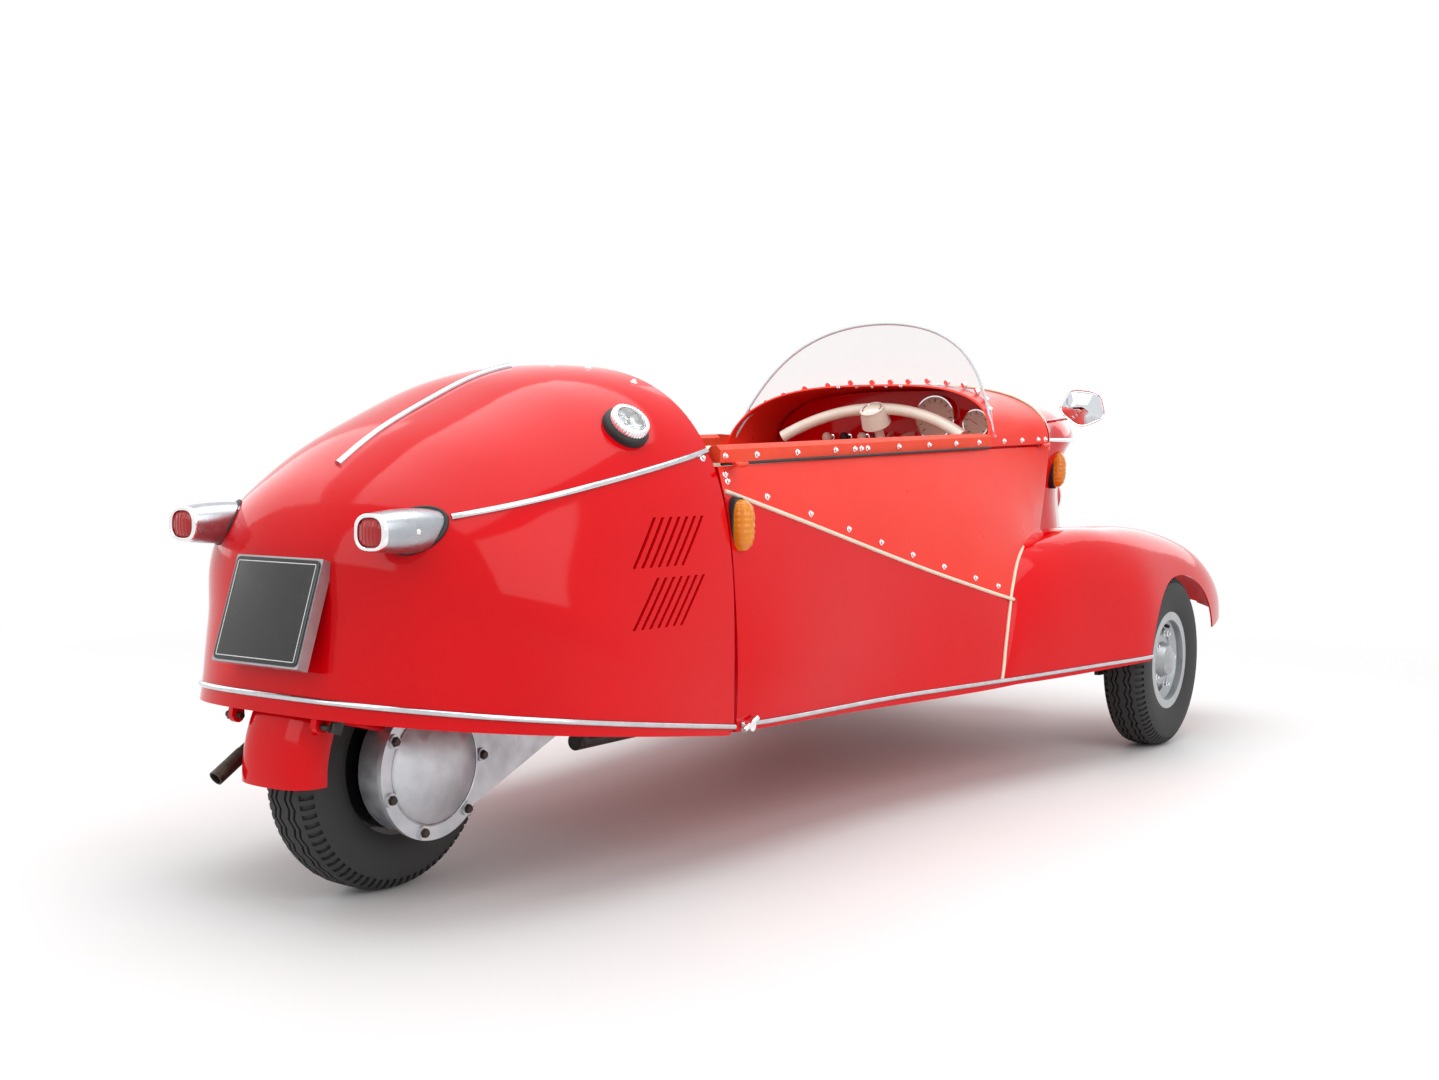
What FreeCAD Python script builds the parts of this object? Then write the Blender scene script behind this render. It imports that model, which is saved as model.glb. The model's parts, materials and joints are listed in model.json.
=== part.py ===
"""Three-wheeled open microcar: two front wheels, one driven rear wheel, lifting canopy frame and tail cowl.

Millimetres. +X forward, +Y left, +Z up. Origin on the ground, midway along the car and on its centre plane.
"""

import FreeCAD
import Part
import math
import os

V = FreeCAD.Vector

# Overall
car_length = 2820.0
car_half_width = 610.0
wheelbase = 2027.0
tail_overhang = 260.0
front_half_track = 540.0
rear_axle_x = tail_overhang - car_length / 2
front_axle_x = rear_axle_x + wheelbase
overrun = 60.0
fit_gap = 0.05
seat_gap = 0.3

# Body lines
body_half = 401.0
deck_height = 866.0
side_wall = 12.0
sheet = 4.0
seam_gap = 8.0
door_gap = 6.0
seam_ahead = 430.0
seam_x = rear_axle_x + seam_ahead
joint_ahead = 1770.0
joint_x = rear_axle_x + joint_ahead
sill_rear_z = 681.0
sill_front_z = 725.0

# Tub, whose stations are shares of the wheelbase and of the body's half width and deck height
tub_station_shares = (0.2121, 0.3947, 0.6423, 0.7893, 0.8732)
tub_height_shares = (0.0, 0.3, 0.55, 0.8, 1.0)
tub_half_shares = (
    (0.993, 1.000, 0.983, 0.948, 0.890),
    (1.035, 1.027, 0.998, 0.950, 0.873),
    (1.190, 1.122, 1.047, 0.960, 0.868),
    (1.152, 1.112, 1.022, 0.948, 0.885),
    (0.878, 0.875, 0.878, 0.913, 0.935),
)
tub_floor_shares = (0.266, 0.254, 0.246, 0.249, 0.249)

# Upper side panels above the slanted line
panel_rear_z = 637.0
panel_low_z = 385.0
panel_low_ahead = 1420.0
panel_front_z = 500.0

# Tail cowl, as arches in planes fanned about a cross axis ahead of and below its lower front corner
fan_ahead = 510.0
fan_z = 180.0
fan_turns = (0.0, 9.24, 17.06, 23.2, 31.4, 39.0, 44.5, 49.9, 55.4, 60.5, 65.0, 70.0, 75.1, 80.0, 85.0)
fan_height_shares = (0.785, 0.791, 0.807, 0.818, 0.832, 0.855, 0.877, 0.899, 0.921, 0.923, 0.903, 0.880, 0.870,
                     0.867, 0.872)
fan_side_power_shares = (1.0, 1.0, 1.0, 1.0, 1.0, 1.0, 1.0, 1.0, 1.0, 1.0, 0.95, 0.9, 0.86, 0.84, 0.84)
cowl_top_power = 2.5
cowl_side_power = 4.4
cowl_base = 40.0
cowl_hem_front_z = 226.0
cowl_hem_tail_z = 313.0

# Nose
nose_station_shares = (0.8732, 0.9373, 1.0113, 1.0607, 1.1002, 1.1298, 1.1495, 1.1594)
nose_half_shares = (0.935, 0.876, 0.785, 0.682, 0.564, 0.424, 0.276, 0.123)
nose_top_shares = (1.000, 0.995, 0.976, 0.941, 0.895, 0.841, 0.785, 0.739)
nose_strip_shares = (0.849, 0.852, 0.855, 0.855, 0.834, 0.797, 0.756, 0.722)
nose_floor_shares = (0.249, 0.255, 0.261, 0.270, 0.290, 0.323, 0.370, 0.439)
nose_waist_shares = (0.94, 0.93, 0.90, 0.89, 0.90, 0.92, 0.95, 1.00)
nose_side_shares = ((-0.01, 0.0), (0.015, 0.3), (0.0, 0.55), (-0.03, 0.75), (0.03, 0.93))
nose_top_power = 3.0
nose_rise_power = 2.2

# Front fenders
fender_station_shares = (0.6423, 0.6611, 0.6833, 0.7104, 0.7449, 0.7893, 0.8392, 0.9127, 0.9867, 1.0607, 1.1298,
                         1.1840, 1.2235, 1.2500, 1.26295)
fender_top_shares = (0.290, 0.400, 0.474, 0.525, 0.566, 0.595, 0.612, 0.614, 0.610, 0.591, 0.557, 0.508, 0.453,
                     0.398, 0.364)
fender_out_shares = (0.782, 0.797, 0.815, 0.836, 0.864, 0.898, 0.938, 0.995, 1.0, 1.0, 0.989, 0.956, 0.903,
                     0.836, 0.779)
fender_mid_shares = (0.541, 0.554, 0.570, 0.593, 0.623, 0.656, 0.685, 0.708, 0.721, 0.725, 0.721, 0.705, 0.689,
                     0.675, 0.669)
fender_low_shares = (0.248, 0.248, 0.249, 0.249, 0.250, 0.252, 0.255, 0.261, 0.268, 0.286, 0.309, 0.323, 0.333,
                     0.342, 0.349)
fender_power = 2.6
arch_ahead_of_axle = 43.0
arch_half_length = 227.0
arch_base_z = 190.0
arch_rise = 221.0
arch_power = 2.2

# Scuttle, rails and windscreen of the canopy frame
scuttle_rear_ahead = 1480.0
scuttle_rear_top_ahead = 1575.0
scuttle_strip_shares = (0.834, 0.849)
scuttle_half_shares = (0.858, 0.935)
rail_width = 26.0
rail_height = 30.0
rail_corner = 8.0
rail_front_ahead = 1500.0
hinge_outset = 382.0
hinge_rear_ahead = 452.0
hinge_rear_reach = 34.0
hinge_front_ahead = 1722.0
hinge_front_reach = 13.0
hinge_barrel = 4.0
hinge_barrel_length = 24.0
hinge_eye_length = 6.0
hinge_eye_gap = 0.3
hinge_leaf = 2.0
hinge_rod = 2.0
glass_thickness = 5.0
glass_low_z = 700.0
glass_high_z = 1060.0
glass_tip_ahead = 1510.0
glass_tip_z = 740.0
glass_top_ahead = 1622.0
glass_top_z = 1019.0
glass_low_half = 368.0
glass_low_depth = 247.0
glass_high_half = 250.0
glass_high_depth = 95.0

# Wheels
tyre_radius = 207.0
tyre_half = 52.5
tyre_tread_half = 40.0
tyre_wall = 12.0
rim_radius = 117.0
rim_half = 44.0
bead_radius = 101.0
rim_sheet = 4.0
hub_radius = 40.0
hub_inner = 35.0
hub_outer = 54.0
axle_radius = 12.0
axle_reach = 28.0

# Front axle, knuckles and steering
kingpin_half = 450.0
kingpin_radius = 12.0
eye_radius = 24.0
eye_height = 56.0
beam_radius = 17.0
beam_drop = 8.0
fork_plate = 10.0
fork_gap = 0.5
knuckle_half_width = 22.0
knuckle_web_inset = 24.0
steer_arm = 90.0
steer_arm_inset = 12.0
steer_arm_half = 8.0
ball_radius = 6.0
ball_height = 22.0
rod_radius = 6.0
rod_eye_radius = 11.0
rod_eye_height = 14.0
rod_inner_y = 43.0
column_lean = 33.0
yoke_ahead = 1600.0
yoke_z = 790.0
yoke_lean = 25.0
yoke_radius = 246.0
yoke_tube = 14.0
yoke_rise = 22.0
yoke_drop = 52.0
column_radius = 11.0
column_low_z = 203.0
drop_arm = 64.0
drop_arm_half = 9.0
boss_radius = 36.0
boss_top_radius = 30.0
boss_length = 40.0

# Chassis
rail_tube = 15.0
rail_y = 120.0
rail_z = 197.0
chassis_rear_ahead = 340.0
chassis_front_ahead = 1905.0
cross_tube = 14.0
cross_half = 300.0
cross_station_shares = (0.26, 0.45, 0.64, 0.82)
hoop_tube = 10.0
hoop_y = 130.0
hoop_foot_y = 114.0
hoop_front_ahead = 205.0
hoop_rear_back = 140.0
hinge_back = 212.0
hinge_z = 295.0
hinge_pin = 5.0
hinge_reach = 34.0
lug_y = 88.0
lug_thickness = 10.0
lug_radius = 11.0
cowl_corner = 14.0

# Engine, drive case, mudguard and exhaust
engine_length = 190.0
engine_half = 112.0
engine_height = 240.0
engine_bevel = 14.0
case_radius = 108.0
case_inner_y = 62.0
case_thickness = 50.0
case_front_ahead = 360.0
case_front_z = 300.0
case_front_radius = 58.0
cover_radius = 116.0
cover_flange = 8.0
cover_dome = 22.0
cover_dome_radius = 92.0
cover_lug_radius = 11.0
cover_lug_circle = 104.0
cover_lug_turns = (90.0, 150.0, 2.0, -49.0, -106.0, -159.0)
guard_radius = 239.5
guard_edge_radius = 188.0
guard_half = 82.0
guard_low_turn = -2.0
guard_high_turn = 115.0
guard_strut = 9.0
guard_strut_turn = 30.0
silencer_radius = 50.0
silencer_length = 260.0
silencer_rear_ahead = 60.0
silencer_z = 272.0
pipe_radius = 11.0
pipe_wall = 1.5
pipe_y = 100.0
pipe_end_back = 247.0
pipe_end_z = 201.0
pipe_tip_radius = 12.0
pipe_tip_length = 60.0

# Seats
front_seat_ahead = 1060.0
front_seat_length = 370.0
front_seat_half = 185.0
front_seat_low_z = 226.0
rear_seat_low_z = 238.2
cushion_top_z = 380.0
front_back_top_z = 728.0
back_thickness = 70.0
back_lean = 9.0
rear_seat_ahead = 545.0
rear_seat_length = 330.0
rear_seat_half = 300.0
rear_back_top_z = 690.0
seat_round = 30.0

# Lamps, plate, cap, mirror, dash and pedals
tail_lamp_y = 209.0
tail_lamp_z = 585.0
tail_lamp_end_back = 216.0
tail_lamp_half_width = 31.0
tail_lamp_half_height = 27.0
tail_lamp_swell_share = 1.22
tail_lamp_root_share = 1.1
tail_lamp_swell_length = 68.0
tail_lamp_length = 130.0
tail_lens_inset = 7.0
tail_lens_depth = 12.0
plate_half = 96.0
plate_height = 166.0
plate_thickness = 20.0
plate_back = 231.0
plate_z = 457.0
plate_lean = 17.9
cap_ahead = 255.0
cap_y = 297.0
cap_z = 741.0
cap_radius = 33.0
cap_height = 26.0
cap_gasket_radius = 40.0
cap_sink = 15.6
cap_way_shares = (-0.18, -0.72, 0.67)
headlamp_y = 100.0
headlamp_z = 590.0
headlamp_radius = 66.0
headlamp_front_ahead = 2338.0
headlamp_length = 190.0
headlamp_rim = 8.0
headlamp_lens_bulge = 12.0
flasher_height = 95.0
flasher_width = 45.0
flasher_depth = 28.0
flasher_rear_ahead = 455.0
flasher_rear_z = 579.0
flasher_front_ahead = 1915.0
flasher_front_z = 667.0
mirror_ahead = 1774.0
mirror_y = 455.0
mirror_z = 812.0
mirror_half_width = 55.0
mirror_half_height = 48.0
mirror_depth = 26.0
mirror_arm = 5.0
mirror_foot_ahead = 1830.0
mirror_foot_y = 330.0
mirror_foot_z = 780.0
dash_thickness = 12.0
dash_gap = 16.0
dash_low_z = 640.0
gauge_radius = 32.0
gauge_depth = 14.0
gauge_y = -205.0
gauge_z = 775.0
knob_radius = 9.0
knob_length = 26.0
knob_place_shares = (0.5, 0.75, 1.0)
pedal_ahead = 1990.0
pedal_z = 330.0
pedal_half = 28.0
pedal_height = 70.0
pedal_thickness = 8.0
pedal_spread = 85.0
pedal_stalk = 7.0
pedal_lean = 20.0
clamp_half = 9.0
clamp_length = 44.0
clamp_z = 240.0
clamp_bar = 5.0
clamp_lean = 21.8

# Louvres of the cowl
louvre_count = 7
louvre_pitch = 19.3
louvre_width = 7.0
louvre_height = 78.0
louvre_lean = 67.0
louvre_first_ahead = 155.0
louvre_low_z = 425.0
louvre_row_rise = 95.0
louvre_row_step = 14.0
louvre_rows = 2


def along(share):
    """X of a share of the wheelbase, forward of the rear axle."""
    return rear_axle_x + share * wheelbase


def ahead(distance):
    """X of a distance forward of the rear axle."""
    return rear_axle_x + distance


def line(a, b):
    return Part.makeLine(a, b)


def spline(points):
    curve = Part.BSplineCurve()
    curve.interpolate(points)
    return curve.toShape()


def loft(wires):
    """A solid through sections: straight between two, smooth through more."""
    return Part.makeLoft(wires, True, len(wires) < 3)


def ring_power(base, power):
    """A signed power, as superellipse formulas need."""
    return math.copysign(abs(base) ** power, base)


def arch_points(half, rise, across_power, up_power, base=0.0, steps=12):
    """(across, up) pairs of an arch |across/half|^p + (up/rise)^q = 1 above a base height."""
    start = math.asin((base / rise) ** (up_power / 2)) if base else 0.0
    pairs = []
    for i in range(steps + 1):
        turn = start + (math.pi - 2 * start) * i / steps
        across = -ring_power(math.cos(turn), 2 / across_power) * half
        up = max(math.sin(turn), 0.0) ** (2 / up_power) * rise
        pairs.append((across, up))
    return pairs


def sill_z(x):
    """Height of the sill line, straight from the cowl seam to the nose joint."""
    share = (x - seam_x) / (joint_x - seam_x)
    return sill_rear_z + share * (sill_front_z - sill_rear_z)


def prism(outline, low_y, high_y):
    """A side-view outline of (x, z) pairs, extruded across the car."""
    points = [V(x, low_y, z) for x, z in outline]
    points.append(points[0])
    return Part.Face(Part.makePolygon(points)).extrude(V(0, high_y - low_y, 0))


def tube(points, radius):
    """Round bar along straight runs with mitred corners."""
    ring = Part.Wire([Part.makeCircle(radius, points[0], points[1] - points[0])])
    return Part.makePolygon(points).makePipeShell([ring], True, False, 1)


def box_between(low, high):
    size = high - low
    return Part.makeBox(size.x, size.y, size.z, low)


def largest(shape):
    return max(shape.Solids, key=lambda solid: solid.Volume)


def mirrored(shape):
    return shape.mirror(V(0, 0, 0), V(0, 1, 0))


def revolved(outline, centre, outward):
    """A wheel section of (radius, out) pairs turned about the cross axis through a centre."""
    points = [centre + V(radius, outward * out, 0) for radius, out in outline]
    points.append(points[0])
    return Part.Face(Part.makePolygon(points)).revolve(centre, V(0, 1, 0), 360)


def tub_solid(inset=0.0):
    """The tub's outer form, or the same inset all round, carried on straight above the sill."""
    wires = []
    for share, halves, floor in zip(tub_station_shares, tub_half_shares, tub_floor_shares):
        x = along(share)
        low = floor * deck_height
        high = sill_z(x)
        profile = [(half * body_half - inset, max(low + up * (high - low), low + inset))
                   for half, up in zip(halves, tub_height_shares)]
        (near, near_z), (top, top_z) = profile[-2:]
        profile.append((top + (top - near) * overrun / (top_z - near_z), top_z + overrun))
        sides = []
        for sign in (-1, 1):
            sides.append([V(x, sign * half, z) for half, z in profile])
        right, left = sides
        wires.append(Part.Wire([line(left[0], right[0]), spline(right), line(right[-1], left[-1]),
                                spline(left[::-1])]))
    return loft(wires)


def nose_arch(x, half, strip, top, inset=0.0):
    """Arch over the nose or scuttle, from the right strip line to the left one."""
    pairs = arch_points(half - inset, top - inset - strip, nose_top_power, nose_rise_power)
    return [V(x, across, strip + up) for across, up in pairs]


def nose_solid(inset=0.0):
    wires = []
    table = zip(nose_station_shares, nose_half_shares, nose_top_shares, nose_strip_shares, nose_floor_shares,
                nose_waist_shares)
    for station, half_share, top_share, strip_share, floor_share, waist in table:
        x = along(station)
        half = half_share * body_half - inset
        strip = strip_share * deck_height
        low = floor_share * deck_height + inset
        arch = nose_arch(x, half + inset, strip, top_share * deck_height, inset)
        side = [((waist + out) * half, low + up * (strip - low)) for out, up in nose_side_shares]
        right = [V(x, -y, z) for y, z in side] + [arch[0]]
        left = [V(x, y, z) for y, z in side] + [arch[-1]]
        wires.append(Part.Wire([line(left[0], right[0]), spline(right), spline(arch), spline(left[::-1])]))
    return loft(wires)


def fender_solid(inset=0.0, sink=0.0):
    """The right fender's outer form, or the same inset all round and sunk below its hem."""
    wires = []
    table = zip(fender_station_shares, fender_top_shares, fender_out_shares, fender_mid_shares, fender_low_shares)
    for station, top_share, out_share, mid_share, low_share in table:
        x = along(station)
        mid = mid_share * car_half_width
        half = out_share * car_half_width - mid - inset
        low = low_share * deck_height
        rise = top_share * deck_height - low - inset
        arch = [V(x, -mid + across, low + up) for across, up in arch_points(half, rise, fender_power, fender_power)]
        first, last = arch[0], arch[-1]
        drop = V(0, 0, -sink)
        edges = [spline(arch)]
        if sink:
            edges += [line(last, last + drop), line(last + drop, first + drop), line(first + drop, first)]
        else:
            edges.append(line(last, first))
        wires.append(Part.Wire(edges))
    return loft(wires)


def wheel_arch():
    """Side opening of the right fender over its wheel."""
    pairs = arch_points(arch_half_length, arch_rise, arch_power, arch_power, steps=24)
    mid = front_axle_x + arch_ahead_of_axle
    points = [V(mid + x, -car_half_width - overrun, arch_base_z + z) for x, z in pairs]
    wire = Part.Wire([spline(points), line(points[-1], points[0])])
    depth = car_half_width + overrun - (front_half_track - tyre_half)
    return Part.Face(wire).extrude(V(0, depth, 0))


def right_fender(tub, nose):
    shell = fender_solid().cut(fender_solid(sheet, overrun))
    return shell.cut(tub).cut(nose).cut(wheel_arch())


def panel_outline(gap):
    """Side-view outline of the upper panel, with a gap to its neighbours."""
    rear = seam_x + gap
    front = joint_x - gap
    slope = (panel_low_z - panel_rear_z) / (panel_low_ahead - seam_ahead)
    return ((rear, panel_rear_z + gap + slope * gap), (ahead(panel_low_ahead), panel_low_z + gap),
            (front, panel_low_z + gap), (front, deck_height), (rear, deck_height))


def side_panel(skin, gap, top_gap, sign):
    """Upper side panel cut from the tub's wall, clear of the fender by the same gap."""
    low = (0.0 if sign > 0 else -car_half_width)
    region = prism(panel_outline(gap), low, low + car_half_width)
    keep_off = fender_solid(-gap) if sign < 0 else mirrored(fender_solid(-gap))
    region = region.cut(keep_off)
    above = prism(((seam_x, sill_z(seam_x) + top_gap), (joint_x, sill_z(joint_x) + top_gap),
                   (joint_x, deck_height + overrun), (seam_x, deck_height + overrun)), low, low + car_half_width)
    return skin.common(region).cut(above)


def tub_parts():
    """The tub's floor and lower walls, and its two upper side panels."""
    outer = tub_solid()
    inner = tub_solid(side_wall)
    back = box_between(V(seam_x - overrun, -car_half_width, 0), V(seam_x + side_wall, car_half_width, deck_height))
    skin = outer.cut(inner.cut(back))
    above = prism(((seam_x - overrun, sill_z(seam_x - overrun) - door_gap / 2),
                   (joint_x + overrun, sill_z(joint_x + overrun) - door_gap / 2),
                   (joint_x + overrun, deck_height + overrun), (seam_x - overrun, deck_height + overrun)),
                  -car_half_width, car_half_width)
    tub = skin.cut(above)
    openings = [prism(panel_outline(0.0), -car_half_width, 0.0).cut(fender_solid()),
                prism(panel_outline(0.0), 0.0, car_half_width).cut(mirrored(fender_solid()))]
    wall = skin.cut(box_between(V(seam_x - overrun, -body_half + 2 * overrun, 0),
                                V(joint_x + overrun, body_half - 2 * overrun, deck_height)))
    for opening in openings:
        tub = tub.cut(opening)
    right = side_panel(wall, 0.0, -door_gap / 2, -1)
    left = side_panel(wall, door_gap, door_gap / 2, 1)
    return tub, right, left


def cowl_solid(inset=0.0):
    wires = []
    for turn, height_share, power_share in zip(fan_turns, fan_height_shares, fan_side_power_shares):
        back, up = math.sin(math.radians(turn)), math.cos(math.radians(turn))
        height = height_share * deck_height - inset
        pairs = arch_points(body_half - inset, height, cowl_top_power, cowl_side_power * power_share, cowl_base, 24)
        points = [V(ahead(fan_ahead) - h * back, y, fan_z + h * up) for y, h in pairs]
        wires.append(Part.Wire([spline(points), line(points[-1], points[0])]))
    return loft(wires)


def louvre_cut(row, index):
    """One slanted slot through both sides of the cowl."""
    x = ahead(louvre_first_ahead) + row * louvre_row_step + index * louvre_pitch
    low_z = louvre_low_z + row * louvre_row_rise
    outline = ((x, low_z), (x + louvre_width, low_z), (x + louvre_lean + louvre_width, low_z + louvre_height),
               (x + louvre_lean, low_z + louvre_height))
    return prism(outline, -car_half_width, car_half_width)


def cowl_shell():
    shell = cowl_solid().cut(cowl_solid(sheet))
    rise = cowl_hem_tail_z - cowl_hem_front_z
    front, tail = seam_x - seam_gap, rear_axle_x - tail_overhang - overrun
    slope = rise / (front - rear_axle_x + tail_overhang)
    side = ((front - cowl_corner, cowl_hem_front_z + slope * cowl_corner), (front, cowl_hem_front_z + cowl_corner),
            (front, deck_height + overrun), (tail, deck_height + overrun),
            (tail, cowl_hem_front_z + slope * (front - tail)))
    shell = shell.common(prism(side, -car_half_width, car_half_width))
    slots = [louvre_cut(row, index) for row in range(louvre_rows) for index in range(louvre_count)]
    shell = shell.cut(Part.makeCompound(slots))
    pin = V(ahead(-hinge_back), 0, hinge_z)
    reach = cowl_solid(sheet / 2)
    for sign in (-1, 1):
        y = sign * (lug_y + lug_thickness / 2) - lug_thickness / 2
        ear = Part.makeCylinder(lug_radius, lug_thickness, V(pin.x, y, pin.z), V(0, 1, 0))
        arm = box_between(V(pin.x - overrun, y, pin.z), V(pin.x + lug_radius, y + lug_thickness, pin.z + overrun))
        arm = arm.common(reach)
        bore = Part.makeCylinder(hinge_pin + fit_gap, lug_thickness * 3, V(pin.x, y - lug_thickness, pin.z),
                                 V(0, 1, 0))
        shell = shell.fuse(ear.fuse(arm)).cut(bore)
    return shell


def tail_lamp_form(inset=0.0, extra=0.0):
    """Right lamp pod: an oval that widens towards the cowl."""
    end = ahead(-tail_lamp_end_back)
    wires = []
    for x, share in ((end - extra, 1.0), (end + tail_lamp_swell_length, tail_lamp_swell_share),
                     (end + tail_lamp_length, tail_lamp_root_share)):
        across = tail_lamp_half_width * share - inset
        up = tail_lamp_half_height * share - inset
        ring = [V(x, -tail_lamp_y + y, tail_lamp_z + z) for y, z in oval(across, up)]
        curve = Part.BSplineCurve()
        curve.interpolate(ring, PeriodicFlag=True)
        wires.append(Part.Wire([curve.toShape()]))
    return loft(wires)


def oval(across, up, power=2.6, steps=16):
    pairs = []
    for i in range(steps):
        turn = 2 * math.pi * i / steps
        pairs.append((ring_power(math.cos(turn), 2 / power) * across, ring_power(math.sin(turn), 2 / power) * up))
    return pairs


def tail_lamps(cowl):
    end = ahead(-tail_lamp_end_back)
    pod = tail_lamp_form()
    socket = tail_lamp_form(tail_lens_inset, overrun)
    mouth = box_between(V(end - overrun, -body_half, 0), V(end + tail_lens_depth, 0, deck_height))
    lens = socket.common(box_between(V(end, -body_half, 0), V(end + tail_lens_depth, 0, deck_height)))
    pod = pod.cut(socket.common(mouth)).cut(cowl)
    return Part.Compound([pod, mirrored(pod)]), Part.Compound([lens, mirrored(lens)])


def number_plate():
    plate = box_between(V(-plate_thickness, -plate_half, -plate_height / 2), V(0, plate_half, plate_height / 2))
    plate = plate.makeFillet(plate_thickness / 8, [e for e in plate.Edges if abs(e.tangentAt(0).x) > 0.9])
    plate.rotate(V(0, 0, 0), V(0, 1, 0), plate_lean)
    plate.translate(V(ahead(-plate_back) + plate_thickness, 0, plate_z))
    return plate


def fuel_cap(cowl):
    """Knurled cap in a rubber gasket, square to the cowl's surface."""
    foot = V(ahead(cap_ahead), -cap_y, cap_z)
    out = V(*cap_way_shares)
    out.normalize()
    gasket = Part.makeCylinder(cap_gasket_radius, cap_height, foot - out * cap_sink, out)
    crown = Part.makeCylinder(cap_radius, cap_height, foot, out)
    edges = [e for e in crown.Edges if e.Closed and (e.CenterOfMass - foot).Length > cap_height / 2]
    crown = crown.makeFillet(cap_height / 5, edges)
    return gasket.fuse(crown).cut(cowl)


def tyre(centre):
    """A tyre whose beads sit on the rim, hollow inside."""
    bead = rim_half - rim_sheet - 2 * fit_gap
    belly = (rim_radius + tyre_radius) / 2
    shoulder = tyre_radius - tyre_wall
    outer = [(rim_radius, bead), ((rim_radius + belly) / 2, (tyre_half + bead) / 2 + fit_gap * 60),
             (belly, tyre_half), (shoulder, tyre_tread_half + fit_gap * 20), (tyre_radius, 0)]
    outer += [(r, -y) for r, y in outer[-2::-1]]
    inner_half = tyre_half - tyre_wall
    inner = [(bead_radius, inner_half * 0.6), (belly, inner_half), (tyre_radius - tyre_wall * 1.3, 0)]
    inner += [(r, -y) for r, y in inner[-2::-1]]
    outside = [centre + V(r, y, 0) for r, y in outer]
    inside = [centre + V(r, y, 0) for r, y in inner]
    foot = [centre + V(bead_radius, sign * (bead - rim_sheet), 0) for sign in (1, -1)]
    wire = Part.Wire([spline(outside), line(outside[-1], foot[1]), line(foot[1], inside[-1]),
                      spline(inside[::-1]), line(inside[0], foot[0]), line(foot[0], outside[0])])
    return Part.Face(wire).revolve(centre, V(0, 1, 0), 360)


def rim(centre, outward):
    """Pressed rim and disc with a domed hub that is bored for the axle."""
    seat = bead_radius
    well = bead_radius - 15 * rim_sheet / 4
    flange = rim_half
    lip = rim_half - rim_sheet
    outline = [(rim_radius, flange), (rim_radius, lip), (seat, lip - rim_sheet), (seat, flange * 0.6),
               (well, flange * 0.3), (well, -flange * 0.3), (seat, -flange * 0.6), (seat, -lip + rim_sheet),
               (rim_radius, -lip), (rim_radius, -flange), (seat - rim_sheet, -flange), (seat - rim_sheet, -lip * 0.7),
               (well - rim_sheet, -flange * 0.35), (well - rim_sheet, 0), (hub_radius * 1.5, lip * 0.45),
               (hub_radius, lip * 0.5), (hub_radius, -hub_inner), (axle_radius + fit_gap, -hub_inner),
               (axle_radius + fit_gap, axle_reach + fit_gap * 20), (0, axle_reach + fit_gap * 20), (0, hub_outer),
               (hub_radius * 0.5, hub_outer * 0.95), (hub_radius * 0.9, hub_outer * 0.8),
               (hub_radius + rim_sheet, lip * 0.6), (hub_radius * 1.5, lip * 0.6),
               (well - rim_sheet, rim_sheet * 1.5), (well - rim_sheet, flange * 0.35),
               (seat - rim_sheet, lip * 0.7), (seat - rim_sheet, flange)]
    return revolved(outline, centre, outward)


def front_axle():
    """Cross beam with saddles under the nose and an upright eye at each end for the kingpin."""
    low, high = -kingpin_half, kingpin_half
    beam_z = tyre_radius - beam_drop
    shape = Part.makeCylinder(beam_radius, high - low, V(front_axle_x, low, beam_z), V(0, 1, 0))
    keep_off = nose_solid(-seat_gap)
    for y in (-rail_y, rail_y):
        saddle = box_between(V(front_axle_x - beam_radius, y - rail_tube, beam_z),
                             V(front_axle_x + beam_radius, y + rail_tube, beam_z + eye_height))
        shape = shape.fuse(saddle.cut(keep_off))
    for y in (low, high):
        base = V(front_axle_x, y, tyre_radius - eye_height / 2)
        shape = shape.fuse(Part.makeCylinder(eye_radius, eye_height, base))
    for y in (low, high):
        base = V(front_axle_x, y, 0)
        shape = shape.cut(Part.makeCylinder(kingpin_radius + fit_gap, tyre_radius * 2, base))
    return shape


def knuckle():
    """Right knuckle: fork, kingpin, stub axle and steering arm."""
    x, y, z = front_axle_x, -kingpin_half, tyre_radius
    half = eye_height / 2 + fork_gap
    web_y = y - eye_radius - fork_gap * 4
    shape = box_between(V(x - knuckle_half_width, web_y - fork_plate, z - half - fork_plate),
                        V(x + knuckle_half_width, web_y, z + half + fork_plate))
    for low in (z + half, z - half - fork_plate):
        plate = box_between(V(x - knuckle_half_width, web_y, low),
                            V(x + knuckle_half_width, y, low + fork_plate))
        disc = Part.makeCylinder(knuckle_half_width, fork_plate, V(x, y, low))
        shape = shape.fuse(plate).fuse(disc)
    pin = Part.makeCylinder(kingpin_radius, 2 * half + fork_plate, V(x, y, z - half - fork_plate / 2))
    stub = Part.makeCylinder(axle_radius, front_half_track + axle_reach + web_y, V(x, web_y, z), V(0, -1, 0))
    shape = shape.fuse(pin).fuse(stub)
    arm_z = z - half - fork_plate
    tip = V(x - steer_arm, y + steer_arm_inset, arm_z)
    root = V(x, y, arm_z)
    arm = Part.makeBox((tip - root).Length, 2 * steer_arm_half, fork_plate, V(0, -steer_arm_half, 0))
    arm.rotate(V(0, 0, 0), V(0, 0, 1), math.degrees(math.atan2(tip.y - root.y, tip.x - root.x)))
    arm.translate(root)
    shape = shape.fuse(arm).fuse(Part.makeCylinder(steer_arm_half, fork_plate, tip))
    return shape.fuse(Part.makeCylinder(ball_radius, ball_height, tip))


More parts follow.
